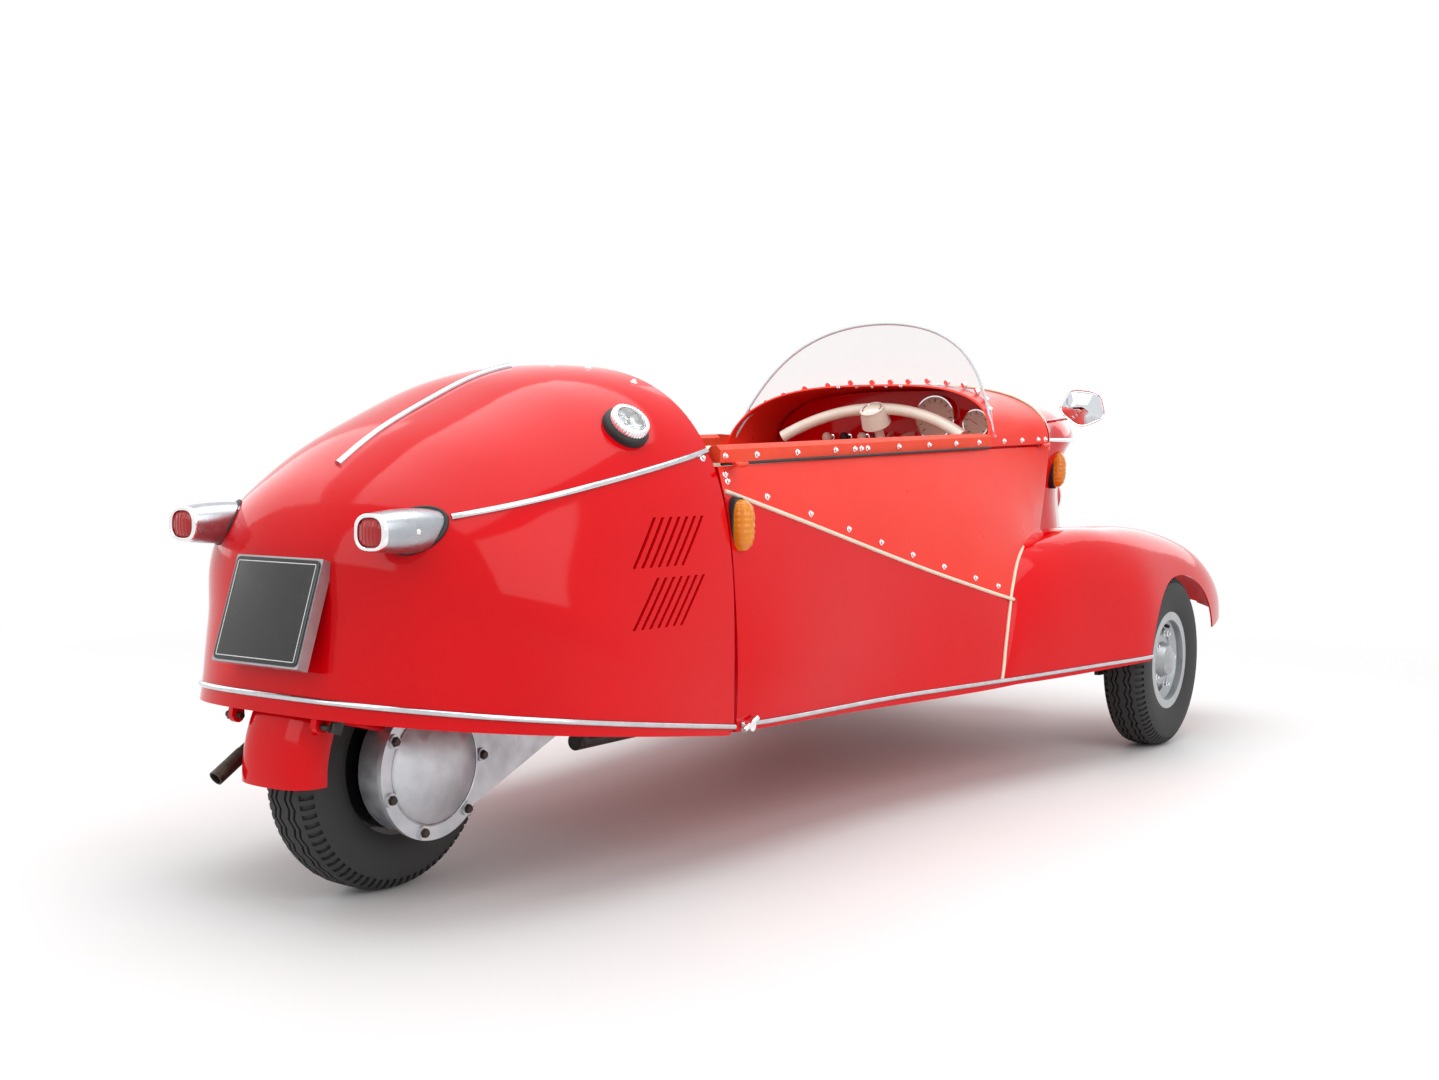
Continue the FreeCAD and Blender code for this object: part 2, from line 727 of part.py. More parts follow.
def track_rod():
    """Right track rod from the knuckle's arm to the foot of the steering column."""
    z = tyre_radius - eye_height / 2
    tip = V(front_axle_x - steer_arm, -kingpin_half + steer_arm_inset, z)
    eye = Part.makeCylinder(rod_eye_radius, rod_eye_height - fork_gap, tip + V(0, 0, fork_gap))
    bore = Part.makeCylinder(ball_radius + fit_gap, rod_eye_height * 2, tip - V(0, 0, rod_eye_height / 2))
    mid = V(0, 0, rod_eye_height / 2)
    inner = V(tip.x, -rod_inner_y, z)
    rod = Part.makeCylinder(rod_radius - fork_gap, (inner - tip).Length, tip + mid, inner - tip)
    end = Part.makeCylinder(rod_eye_radius, rod_eye_height - fork_gap, inner + V(0, 0, fork_gap))
    return rod.fuse(eye).fuse(end).cut(bore)


def column_axis():
    """Direction of the steering column towards the driver."""
    lean = math.radians(column_lean)
    return V(-math.sin(lean), 0, math.cos(lean))


def steering_bar():
    """Half-wheel yoke, boss, inclined column and drop arm."""
    axis = column_axis()
    hub = V(ahead(yoke_ahead), 0, yoke_z)
    length = (yoke_z - column_low_z) / axis.z
    column = Part.makeCylinder(column_radius, length, hub - axis * length, axis)
    boss = Part.makeCone(boss_radius, boss_top_radius, boss_length, hub - axis * boss_length / 2, axis)
    lean = math.radians(yoke_lean)
    up = V(math.sin(lean), 0, math.cos(lean))
    drop = yoke_rise + yoke_drop
    bend = (yoke_radius ** 2 + drop ** 2) / (2 * drop)
    half_turn = math.degrees(math.asin(yoke_radius / bend))
    centre = hub + up * (yoke_rise - bend)
    ring = Part.Face(Part.Wire([Part.makeCircle(yoke_tube, centre + up * bend, V(0, 1, 0))]))
    across = V(-up.z, 0, up.x)
    ring.rotate(centre, across, -half_turn)
    yoke = ring.revolve(centre, across, 2 * half_turn)
    foot = hub - axis * length
    rear_down = V(-axis.z, 0, axis.x)
    arm_tip = foot + rear_down * drop_arm
    arm = Part.makeCylinder(drop_arm_half, drop_arm, foot + axis * column_radius, rear_down)
    return column.fuse(arm).fuse(boss).fuse(yoke)


def chassis(tub):
    """Two rails under the floor, cross tubes, and the rear hoop that carries guard and cowl hinge."""
    shape = None
    rear = ahead(chassis_rear_ahead)
    for sign in (-1, 1):
        rail = Part.makeCylinder(rail_tube, ahead(chassis_front_ahead) - rear, V(rear, sign * rail_y, rail_z),
                                 V(1, 0, 0))
        shape = rail if shape is None else shape.fuse(rail)
    for share in cross_station_shares:
        x = along(share)
        z = floor_z(x, tub) - cross_tube - seat_gap
        shape = shape.fuse(Part.makeCylinder(cross_tube, 2 * cross_half, V(x, -cross_half, z), V(0, 1, 0)))
    top = tyre_radius + guard_radius + hoop_tube + seat_gap
    for sign in (-1, 1):
        y = sign * hoop_y
        path = [V(rear + rail_tube, y, rail_z), V(ahead(hoop_front_ahead), y, top), V(ahead(-hoop_rear_back), y, top),
                V(ahead(-hinge_back) + hoop_tube, sign * hoop_foot_y, hinge_z - hoop_tube)]
        shape = shape.fuse(tube(path, hoop_tube))
    bridge = Part.makeCylinder(hoop_tube, 2 * hoop_y, V(rear_axle_x, -hoop_y, top), V(0, 1, 0))
    for sign in (-1, 1):
        foot = V(ahead(-hinge_back), sign * hoop_foot_y, hinge_z)
        shape = shape.fuse(Part.makeCylinder(hinge_pin, hinge_reach, foot, V(0, -sign, 0)))
    return shape.fuse(bridge)


def floor_z(x, tub):
    """Underside of the tub on the centre plane."""
    return tub.common(line(V(x, 0, 0), V(x, 0, deck_height))).BoundBox.ZMin


def engine_block():
    front = seam_x - seam_gap - sheet * 2
    low = rail_z + rail_tube + seat_gap
    block = box_between(V(front - engine_length, -case_inner_y + seat_gap, low),
                        V(front, engine_half, low + engine_height))
    return block.makeChamfer(engine_bevel, block.Edges)


def drive_case():
    """Cast case that swings the rear wheel on its right side, with the stub axle."""
    axle = V(rear_axle_x, -case_inner_y, tyre_radius)
    nose = V(ahead(case_front_ahead), -case_inner_y, case_front_z)
    back = V(0, -case_thickness, 0)
    shape = Part.makeCylinder(case_radius, case_thickness, axle, back)
    shape = shape.fuse(Part.makeCylinder(case_front_radius, case_thickness, nose, back))
    run = nose - axle
    distance = run.Length
    tilt = math.asin((case_radius - case_front_radius) / distance)
    turn = math.atan2(run.z, run.x)
    corners = []
    for centre, radius, side in ((axle, case_radius, 1), (nose, case_front_radius, 1),
                                 (nose, case_front_radius, -1), (axle, case_radius, -1)):
        angle = turn + side * (math.pi / 2 - tilt)
        corners.append((centre.x + radius * math.cos(angle), centre.z + radius * math.sin(angle)))
    shape = shape.fuse(prism(corners, -case_inner_y - case_thickness, -case_inner_y))
    stub = Part.makeCylinder(axle_radius, case_inner_y + axle_reach, axle, V(0, 1, 0))
    return shape.fuse(stub)


def case_cover():
    """Round domed cover with bolt lugs on the drive case."""
    foot = V(rear_axle_x, -case_inner_y - case_thickness, tyre_radius)
    out = V(0, -1, 0)
    flange = Part.makeCylinder(cover_radius, cover_flange, foot, out)
    sag = cover_dome
    ball = (cover_dome_radius ** 2 + sag ** 2) / (2 * sag)
    dome = Part.makeSphere(ball, foot + out * (cover_flange + sag - ball))
    keep = Part.makeCylinder(cover_dome_radius, sag * 2, foot + out * cover_flange / 2, out)
    shape = flange.fuse(dome.common(keep))
    for turn in cover_lug_turns:
        angle = math.radians(turn)
        spot = foot + V(cover_lug_circle * math.cos(angle), 0, cover_lug_circle * math.sin(angle))
        shape = shape.fuse(Part.makeCylinder(cover_lug_radius, cover_flange * 1.6, spot, out))
    return shape


def mudguard():
    """Curved guard over the rear wheel, turned about the axle, with a stay to the drive case."""
    centre = V(rear_axle_x, 0, tyre_radius)
    rings = []
    for inset in (0.0, sheet):
        rise = guard_radius - guard_edge_radius
        pairs = [(y, guard_edge_radius + up - inset) for y, up in
                 arch_points(guard_half - inset, rise, fender_power, fender_power, steps=8)]
        rings.append([centre + V(-radius, y, 0) for y, radius in pairs])
    outer, inner = rings
    wire = Part.Wire([spline(outer), line(outer[-1], inner[-1]), spline(inner[::-1]), line(inner[0], outer[0])])
    face = Part.Face(wire)
    face.rotate(centre, V(0, 1, 0), guard_low_turn)
    return face.revolve(centre, V(0, 1, 0), guard_high_turn)


def guard_stay():
    axle = V(rear_axle_x, 0, tyre_radius)
    foot = axle + V(-case_radius * 0.62, -case_inner_y - case_thickness / 2, case_radius * 0.62)
    turn = math.radians(guard_strut_turn)
    head = axle + V(-guard_edge_radius * math.cos(turn), -guard_half + guard_strut, guard_edge_radius * math.sin(turn))
    return tube([foot, head], guard_strut)


def exhaust():
    side = hoop_y + hoop_tube + silencer_radius + seat_gap
    rear = V(ahead(silencer_rear_ahead), side, silencer_z)
    drum = Part.makeCylinder(silencer_radius, silencer_length, rear, V(1, 0, 0))
    drum = drum.makeFillet(silencer_radius / 4, [e for e in drum.Edges if e.Closed])
    path = [rear + V(silencer_radius / 2, 0, 0),
            V(ahead(-silencer_rear_ahead * 1.4), (side + pipe_y) / 2, silencer_z),
            V(ahead(-pipe_end_back * 0.75), pipe_y, pipe_end_z + pipe_radius * 3.4),
            V(ahead(-pipe_end_back), pipe_y, pipe_end_z)]
    pipe = tube(path, pipe_radius)
    last = path[-1] - path[-2]
    last.normalize()
    root = path[-1] - last * pipe_tip_length
    tip = Part.makeCylinder(pipe_tip_radius, pipe_tip_length, root, last)
    mouth = Part.makeCylinder(pipe_radius - pipe_wall, pipe_tip_length, root, last)
    return drum.fuse(pipe).fuse(tip).cut(mouth)


def rounded_box(low, high, radius):
    shape = box_between(low, high)
    return shape.makeFillet(radius, shape.Edges)


def seat(front_x, length, half, low_z, back_top):
    """Cushion and leaning back, as plain closed forms."""
    rear = ahead(front_x)
    cushion = rounded_box(V(rear, -half, low_z), V(rear + length, half, cushion_top_z), seat_round)
    back = rounded_box(V(0, -half, 0), V(back_thickness, half, back_top - low_z), seat_round)
    keep_off = box_between(V(-length, -2 * half, -length), V(back_thickness + seat_gap, 2 * half, back_top))
    for shape in (back, keep_off):
        shape.rotate(V(0, 0, 0), V(0, 1, 0), -back_lean)
        shape.translate(V(rear, 0, low_z))
    return cushion.cut(keep_off), back


def scuttle_form(inset=0.0, low=None):
    wires = []
    ends = ((scuttle_rear_ahead - overrun, scuttle_half_shares[0], scuttle_strip_shares[0]),
            (joint_ahead, scuttle_half_shares[1], scuttle_strip_shares[1]))
    for distance, half_share, strip_share in ends:
        x = ahead(distance)
        half = half_share * body_half
        strip = strip_share * deck_height
        arch = nose_arch(x, half, strip, deck_height, inset)
        foot = sill_z(x) - overrun
        right, left = V(x, arch[0].y, foot), V(x, arch[-1].y, foot)
        wires.append(Part.Wire([line(left, right), line(right, arch[0]), spline(arch), line(arch[-1], left)]))
    return loft(wires)


def scuttle_panel():
    shell = scuttle_form().cut(scuttle_form(sheet))
    rear, front = ahead(scuttle_rear_ahead), joint_x - door_gap
    low, high = sill_z(rear) + door_gap / 2, deck_height + overrun
    lean = (scuttle_rear_top_ahead - scuttle_rear_ahead) / (deck_height - low)
    side = ((rear, low), (front, sill_z(front) + door_gap / 2), (front, high), (rear + lean * (high - low), high))
    return shell.common(prism(side, -car_half_width, car_half_width))


def rail(sign):
    """Padded rail along the sill, as a loft that follows the tub's upper edge."""
    wires = []
    for share, halves in list(zip(tub_station_shares, tub_half_shares))[:4]:
        x = min(along(share), ahead(rail_front_ahead))
        if share == tub_station_shares[0]:
            x = x + seam_gap
        if share == tub_station_shares[3]:
            x = ahead(rail_front_ahead)
        out = halves[-1] * body_half
        low = sill_z(x) + door_gap / 2
        top, inner = low + rail_height, out - rail_width
        outline = [(out, low), (out, top - rail_corner), (out - rail_corner, top), (inner + rail_corner, top),
                   (inner, top - rail_corner), (inner, low)]
        points = [V(x, sign * y, z) for y, z in outline]
        points.append(points[0])
        wires.append(Part.makePolygon(points))
    return loft(wires)


def canopy_hinge(distance, reach):
    """Hinge on the canopy's line: the canopy's barrel and leaf, and the body's rod, two eyes and their leaves."""
    slope = (sill_front_z - sill_rear_z) / (joint_x - seam_x)
    axis = V(1, 0, slope)
    axis.normalize()
    x = ahead(distance)
    start = V(x, -hinge_outset, sill_z(x))
    end = start + axis * hinge_barrel_length
    barrel = Part.makeCylinder(hinge_barrel, hinge_barrel_length, start, axis)
    leaf = box_between(V(start.x, -hinge_outset, end.z + door_gap / 2 - hinge_leaf / 2),
                       V(end.x, reach - hinge_outset, end.z + door_gap / 2 + hinge_leaf / 2))
    bore = Part.makeCylinder(hinge_rod + fit_gap, hinge_barrel_length, start, axis)
    step = axis * (hinge_eye_length + hinge_eye_gap)
    fixed = Part.makeCylinder(hinge_rod, hinge_barrel_length + 2 * hinge_eye_gap + hinge_eye_length,
                              start - axis * (hinge_eye_gap + hinge_eye_length / 2), axis)
    for foot in (start - step, end + axis * hinge_eye_gap):
        eye = Part.makeCylinder(hinge_barrel, hinge_eye_length, foot, axis)
        top = foot.z - door_gap / 2 - hinge_eye_gap
        plate = box_between(V(foot.x, -hinge_outset, top - hinge_leaf),
                            V(foot.x + hinge_eye_length, reach - hinge_outset, top))
        fixed = fixed.fuse(eye).fuse(plate)
    return barrel.fuse(leaf).cut(bore), fixed


def glass_ring(z, half, depth):
    ring = Part.Wire([Part.Ellipse(V(0, 0, 0), half, depth).toShape()])
    ring.rotate(V(0, 0, 0), V(0, 0, 1), 90)
    ring.translate(V(ahead(glass_tip_ahead), 0, z))
    return ring


def windscreen():
    """Wrapped clear sheet: an oval cone cut by the sloping plane of its rear edge, standing on the scuttle."""
    cones = [loft([glass_ring(glass_low_z, glass_low_half - inset, glass_low_depth - inset),
                   glass_ring(glass_high_z, glass_high_half - inset, glass_high_depth - inset)])
             for inset in (0.0, glass_thickness)]
    slope = (glass_top_ahead - glass_tip_ahead) / (glass_top_z - glass_tip_z)
    high = glass_high_z + overrun
    tip, top = ahead(glass_tip_ahead), ahead(glass_tip_ahead + slope * (high - glass_tip_z))
    front = joint_x + overrun * 2
    side = ((tip, glass_tip_z), (top, high), (front, high), (front, glass_tip_z))
    pane = cones[0].cut(cones[1]).common(prism(side, -car_half_width, car_half_width))
    return largest(pane.cut(scuttle_form()))


def headlamps(nose):
    """Bullet lamp shells faired into the nose, and their lenses."""
    front = ahead(headlamp_front_ahead)
    outline = [V(front, 0, 0), V(front, 0, headlamp_radius), V(front - headlamp_rim * 2, 0, headlamp_radius),
               V(front - headlamp_length * 0.6, 0, headlamp_radius * 0.8), V(front - headlamp_length, 0, 0)]
    wire = Part.Wire([line(outline[0], outline[1]), line(outline[1], outline[2]),
                      spline(outline[2:]), line(outline[4], outline[0])])
    shell = Part.Face(wire).revolve(V(0, 0, 0), V(1, 0, 0), 360)
    seat_depth = headlamp_rim
    seat_cut = Part.makeCylinder(headlamp_radius - headlamp_rim, seat_depth * 2, V(front - seat_depth, 0, 0),
                                 V(1, 0, 0))
    lens_radius = headlamp_radius - headlamp_rim
    bulge = headlamp_lens_bulge
    ball = (lens_radius ** 2 + bulge ** 2) / (2 * bulge)
    lens = Part.makeCylinder(lens_radius, seat_depth + bulge, V(front - seat_depth, 0, 0), V(1, 0, 0))
    lens = lens.common(Part.makeSphere(ball, V(front + bulge - ball, 0, 0)))
    shell = shell.cut(seat_cut)
    for shape in (shell, lens):
        shape.translate(V(0, -headlamp_y, headlamp_z))
    shell = shell.cut(nose)
    lens = lens.cut(nose)
    return Part.Compound([shell, mirrored(shell)]), Part.Compound([lens, mirrored(lens)])


def flasher(x, z, carrier):
    """Upright oval lens on the right side, seated on the body."""
    wires = []
    start = -body_half * 0.75
    for y, share in ((start, 1.0), (side_y(x, z, carrier) - flasher_depth, 0.8)):
        ring = [V(x + a, y, z + u) for a, u in oval(flasher_width / 2 * share, flasher_height / 2 * share)]
        curve = Part.BSplineCurve()
        curve.interpolate(ring, PeriodicFlag=True)
        wires.append(Part.Wire([curve.toShape()]))
    return loft(wires).cut(carrier)


def side_y(x, z, carrier):
    """Y of the carrier's right side at a place seen from the side."""
    probe = line(V(x, -car_half_width - overrun, z), V(x, 0, z))
    hit = carrier.common(probe)
    return hit.BoundBox.YMin


def mirror():
    head = V(ahead(mirror_ahead), -mirror_y, mirror_z)
    wires = []
    for x, share in ((0.0, 1.0), (mirror_depth, 0.45)):
        ring = [V(head.x + x, head.y + y, head.z + z) for y, z in
                oval(mirror_half_width * share, mirror_half_height * share)]
        curve = Part.BSplineCurve()
        curve.interpolate(ring, PeriodicFlag=True)
        wires.append(Part.Wire([curve.toShape()]))
    shell = loft(wires)
    foot = V(ahead(mirror_foot_ahead), -mirror_foot_y, mirror_foot_z)
    arm = tube([head + V(mirror_depth / 2, 0, 0), foot], mirror_arm)
    return shell.fuse(arm)


def dash_panel():
    """Board across the scuttle, seated on the right panel and clear of all that lifts with the canopy."""
    rear = joint_x - dash_gap - dash_thickness
    front = rear + dash_thickness
    step_z = sill_z(rear) + door_gap
    right = box_between(V(rear, -body_half, dash_low_z), V(front, 0, step_z)).common(tub_solid(side_wall + seat_gap))
    left = box_between(V(rear, 0, dash_low_z), V(front, body_half, step_z)).common(tub_solid(side_wall + door_gap))
    upper = box_between(V(rear, -body_half, step_z), V(front, body_half, deck_height))
    upper = upper.common(scuttle_form(sheet + door_gap))
    return right.fuse(left).fuse(upper).removeSplitter()


def instruments():
    rear = joint_x - dash_gap - dash_thickness
    gauge = Part.makeCylinder(gauge_radius, gauge_depth, V(rear - gauge_depth, gauge_y, gauge_z), V(1, 0, 0))
    front = rear - gauge_depth / 2
    gauge = gauge.makeFillet(gauge_depth / 4, [e for e in gauge.Edges if e.Closed and e.CenterOfMass.x < front])
    knobs = [gauge]
    for share in knob_place_shares:
        foot = V(rear - knob_length, -gauge_y * share, gauge_z - gauge_radius)
        knobs.append(Part.makeCylinder(knob_radius, knob_length, foot, V(1, 0, 0)))
    return Part.Compound(knobs)


def pedals(nose_inner):
    shapes = []
    for sign in (-1, 1):
        pad = box_between(V(0, -pedal_half, 0), V(pedal_thickness, pedal_half, pedal_height))
        pad = pad.makeFillet(pedal_thickness / 3, pad.Edges)
        pad.rotate(V(0, 0, 0), V(0, 1, 0), pedal_lean)
        pad.translate(V(ahead(pedal_ahead), sign * pedal_spread, pedal_z))
        x = ahead(pedal_ahead) + pedal_thickness
        stalk = Part.makeCylinder(pedal_stalk, pedal_z, V(x, sign * pedal_spread, pedal_height / 2))
        shapes.append(pad.fuse(stalk.common(nose_inner)))
    return Part.Compound(shapes)


def cowl_clamps():
    """Turn handles at the lower front corners of the cowl."""
    x = seam_x
    y = -body_half
    lean = math.radians(clamp_lean)
    stem = Part.makeCylinder(clamp_half, clamp_length / 2, V(x + clamp_length / 2, y + clamp_half / 2, clamp_z),
                             V(0, -1, 0))
    handle = Part.makeCylinder(clamp_bar, clamp_length, V(x, y - clamp_length / 2 + clamp_half, clamp_z - clamp_bar),
                               V(math.cos(lean), 0, math.sin(lean)))
    return stem.fuse(handle)


def write(node, shape):
    shape.exportStep(os.path.join("parts", node + ".step"))


def main():
    os.makedirs("parts", exist_ok=True)
    tub, right_panel, left_panel = tub_parts()
    tub_form = tub_solid()
    nose_form = nose_solid()
    tip = along(nose_station_shares[-1]) - sheet
    nose_inner = nose_solid(sheet).cut(box_between(V(tip, -body_half, 0), V(tip + overrun, body_half, deck_height)))
    nodes = {}
    nodes["tub_shell"] = tub
    nodes["side_panel_left"] = left_panel
    column_hole = Part.makeCylinder(column_radius + fit_gap, car_half_width, V(ahead(yoke_ahead), 0, yoke_z)
                                    - column_axis() * ((yoke_z - column_low_z) / column_axis().z + overrun),
                                    column_axis())
    below = box_between(V(joint_x, -body_half, 0), V(front_axle_x + body_half, body_half, yoke_z / 2))
    lower_hole = column_hole.common(below)
    nodes["nose_shell"] = nose_form.cut(nose_inner).cut(lower_hole)
    fender = right_fender(tub_form, nose_form)
    nodes["fender_right"] = fender
    nodes["fender_left"] = mirrored(fender)
    rear_barrel, rear_eyes = canopy_hinge(hinge_rear_ahead, hinge_rear_reach)
    front_barrel, front_eyes = canopy_hinge(hinge_front_ahead, hinge_front_reach)
    nodes["side_panel_right"] = right_panel.fuse(rear_eyes).fuse(front_eyes)
    nodes["scuttle_panel"] = scuttle_panel().fuse(front_barrel)
    nodes["rail_right"] = rail(-1).cut(scuttle_form()).fuse(rear_barrel)
    nodes["rail_left"] = rail(1).cut(scuttle_form())
    nodes["windscreen"] = windscreen()
    cowl = cowl_shell()
    nodes["cowl_shell"] = cowl
    cowl_form = cowl_solid()
    nodes["tail_lamp_pods"], nodes["tail_lamp_lenses"] = tail_lamps(cowl_form)
    nodes["number_plate"] = number_plate().cut(cowl_form)
    nodes["fuel_cap"] = fuel_cap(cowl_form)
    beam = front_axle()
    nodes["front_axle"] = beam
    nodes["chassis_frame"] = chassis(tub_form)
    nodes["engine_block"] = engine_block()
    nodes["drive_case"] = drive_case()
    nodes["drive_case_cover"] = case_cover()
    guard = mudguard()
    stay = guard_stay().cut(drive_case())
    nodes["rear_mudguard"] = guard.fuse(stay)
    nodes["exhaust"] = exhaust()
    cushion, back = seat(front_seat_ahead, front_seat_length, front_seat_half, front_seat_low_z, front_back_top_z)
    nodes["front_seat_cushion"], nodes["front_seat_back"] = cushion, back
    cushion, back = seat(rear_seat_ahead, rear_seat_length, rear_seat_half, rear_seat_low_z, rear_back_top_z)
    nodes["rear_seat_cushion"], nodes["rear_seat_back"] = cushion, back
    nodes["headlamp_shells"], nodes["headlamp_lenses"] = headlamps(nose_form)
    rear_flasher = flasher(ahead(flasher_rear_ahead), flasher_rear_z, tub_form)
    front_flasher = flasher(ahead(flasher_front_ahead), flasher_front_z, nose_form)
    nodes["flasher_lenses"] = Part.Compound([rear_flasher, mirrored(rear_flasher), front_flasher,
                                             mirrored(front_flasher)])
    nodes["mirror"] = mirror().cut(nose_form)
    nodes["dash_panel"] = dash_panel()
    nodes["instruments"] = instruments()
    nodes["pedals"] = pedals(nose_inner)
    clamp = cowl_clamps().cut(tub_form)
    nodes["cowl_clamps"] = Part.Compound([clamp, mirrored(clamp)])
    nodes["steering_bar"] = steering_bar()
    right_knuckle = knuckle()
    nodes["knuckle_right"], nodes["knuckle_left"] = right_knuckle, mirrored(right_knuckle)
    right_rod = track_rod()
    nodes["track_rod_right"], nodes["track_rod_left"] = right_rod, mirrored(right_rod)
    for side, sign in (("right", -1), ("left", 1)):
        centre = V(front_axle_x, sign * front_half_track, tyre_radius)
        nodes["front_tyre_" + side] = tyre(centre)
        nodes["front_rim_" + side] = rim(centre, sign)
    centre = V(rear_axle_x, 0, tyre_radius)
    nodes["rear_tyre"] = tyre(centre)
    nodes["rear_rim"] = rim(centre, 1)
    for node, shape in nodes.items():
        write(node, shape)


main()
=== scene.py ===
"""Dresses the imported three-wheeled car: finishes, mouldings, treads, seats, lamps, and the studio round it.

Places are given in millimetres ahead of the rear axle, to the left of the centre plane and above the
ground, and spot() turns them to the frame's metres.
"""

import json
import logging
import math
from dataclasses import dataclass, field
from enum import Enum
from typing import Any, Callable, Iterable, Optional, Sequence

import bpy
from mathutils import Matrix, Quaternion, Vector
from mathutils.bvhtree import BVHTree

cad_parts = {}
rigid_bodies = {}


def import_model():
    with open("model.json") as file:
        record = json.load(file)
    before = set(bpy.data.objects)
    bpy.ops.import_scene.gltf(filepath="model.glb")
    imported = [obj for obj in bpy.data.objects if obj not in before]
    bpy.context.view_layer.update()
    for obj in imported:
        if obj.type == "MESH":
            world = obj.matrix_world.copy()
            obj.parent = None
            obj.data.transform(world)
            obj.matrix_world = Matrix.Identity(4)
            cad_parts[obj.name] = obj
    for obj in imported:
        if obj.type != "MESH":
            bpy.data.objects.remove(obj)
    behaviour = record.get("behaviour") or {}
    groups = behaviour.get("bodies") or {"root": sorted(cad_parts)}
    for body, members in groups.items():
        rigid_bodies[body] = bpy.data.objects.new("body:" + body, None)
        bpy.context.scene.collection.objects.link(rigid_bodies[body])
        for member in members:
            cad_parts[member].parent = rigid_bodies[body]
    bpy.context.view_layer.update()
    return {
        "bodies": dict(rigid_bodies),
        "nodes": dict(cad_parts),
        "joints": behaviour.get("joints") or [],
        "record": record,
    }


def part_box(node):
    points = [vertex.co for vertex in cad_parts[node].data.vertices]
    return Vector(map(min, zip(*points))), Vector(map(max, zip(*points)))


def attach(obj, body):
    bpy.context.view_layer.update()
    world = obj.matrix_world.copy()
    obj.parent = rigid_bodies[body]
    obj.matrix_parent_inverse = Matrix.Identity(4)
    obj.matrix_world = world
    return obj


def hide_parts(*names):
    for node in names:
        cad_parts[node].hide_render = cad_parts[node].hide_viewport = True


LOG = logging.getLogger("dressing")
REAR_AXLE_X = -1.150
MM = 0.001
IMAGE_WIDTH = 1439.0
AT_ORIGIN = Matrix.Identity(4)


def spot(ahead: float, left: float, up: float) -> Vector:
    """A place in the frame.

    Args:
        ahead: Millimetres ahead of the rear axle.
        left: Millimetres left of the centre plane.
        up: Millimetres above the ground.

    Returns:
        The place in metres.
    """
    return Vector((ahead * MM + REAR_AXLE_X, left * MM, up * MM))


def linear(code: str) -> tuple[float, float, float, float]:
    """Turn an sRGB hex colour to linear.

    Args:
        code: Six hex digits.

    Returns:
        Linear red, green, blue and an alpha of one.
    """
    parts = [int(code[i:i + 2], 16) / 255 for i in (0, 2, 4)]
    out = [p / 12.92 if p <= 0.04045 else ((p + 0.055) / 1.055) ** 2.4 for p in parts]
    return (out[0], out[1], out[2], 1.0)


def add_node(tree: bpy.types.NodeTree, kind: str, inputs: Optional[dict] = None,
             **settings: Any) -> bpy.types.Node:
    """Add a shader node with its settings, values and links.

    Args:
        tree: The node tree.
        kind: The node's type name.
        inputs: Socket names or numbers, each with a value or with another node's output socket.
        settings: Attributes of the node.

    Returns:
        The new node.
    """
    node = tree.nodes.new(kind)
    for key, value in settings.items():
        setattr(node, key, value)
    for key, value in (inputs or {}).items():
        if isinstance(value, bpy.types.NodeSocket):
            tree.links.new(value, node.inputs[key])
        else:
            node.inputs[key].default_value = value
    return node


class Relief(Enum):
    """How a finish's surface is broken up."""

    SMOOTH = "smooth"
    GRAIN = "grain"
    CAST = "cast"
    BRUSHED = "brushed"
    RIBS_Y = "Y"
    RIBS_Z = "Z"


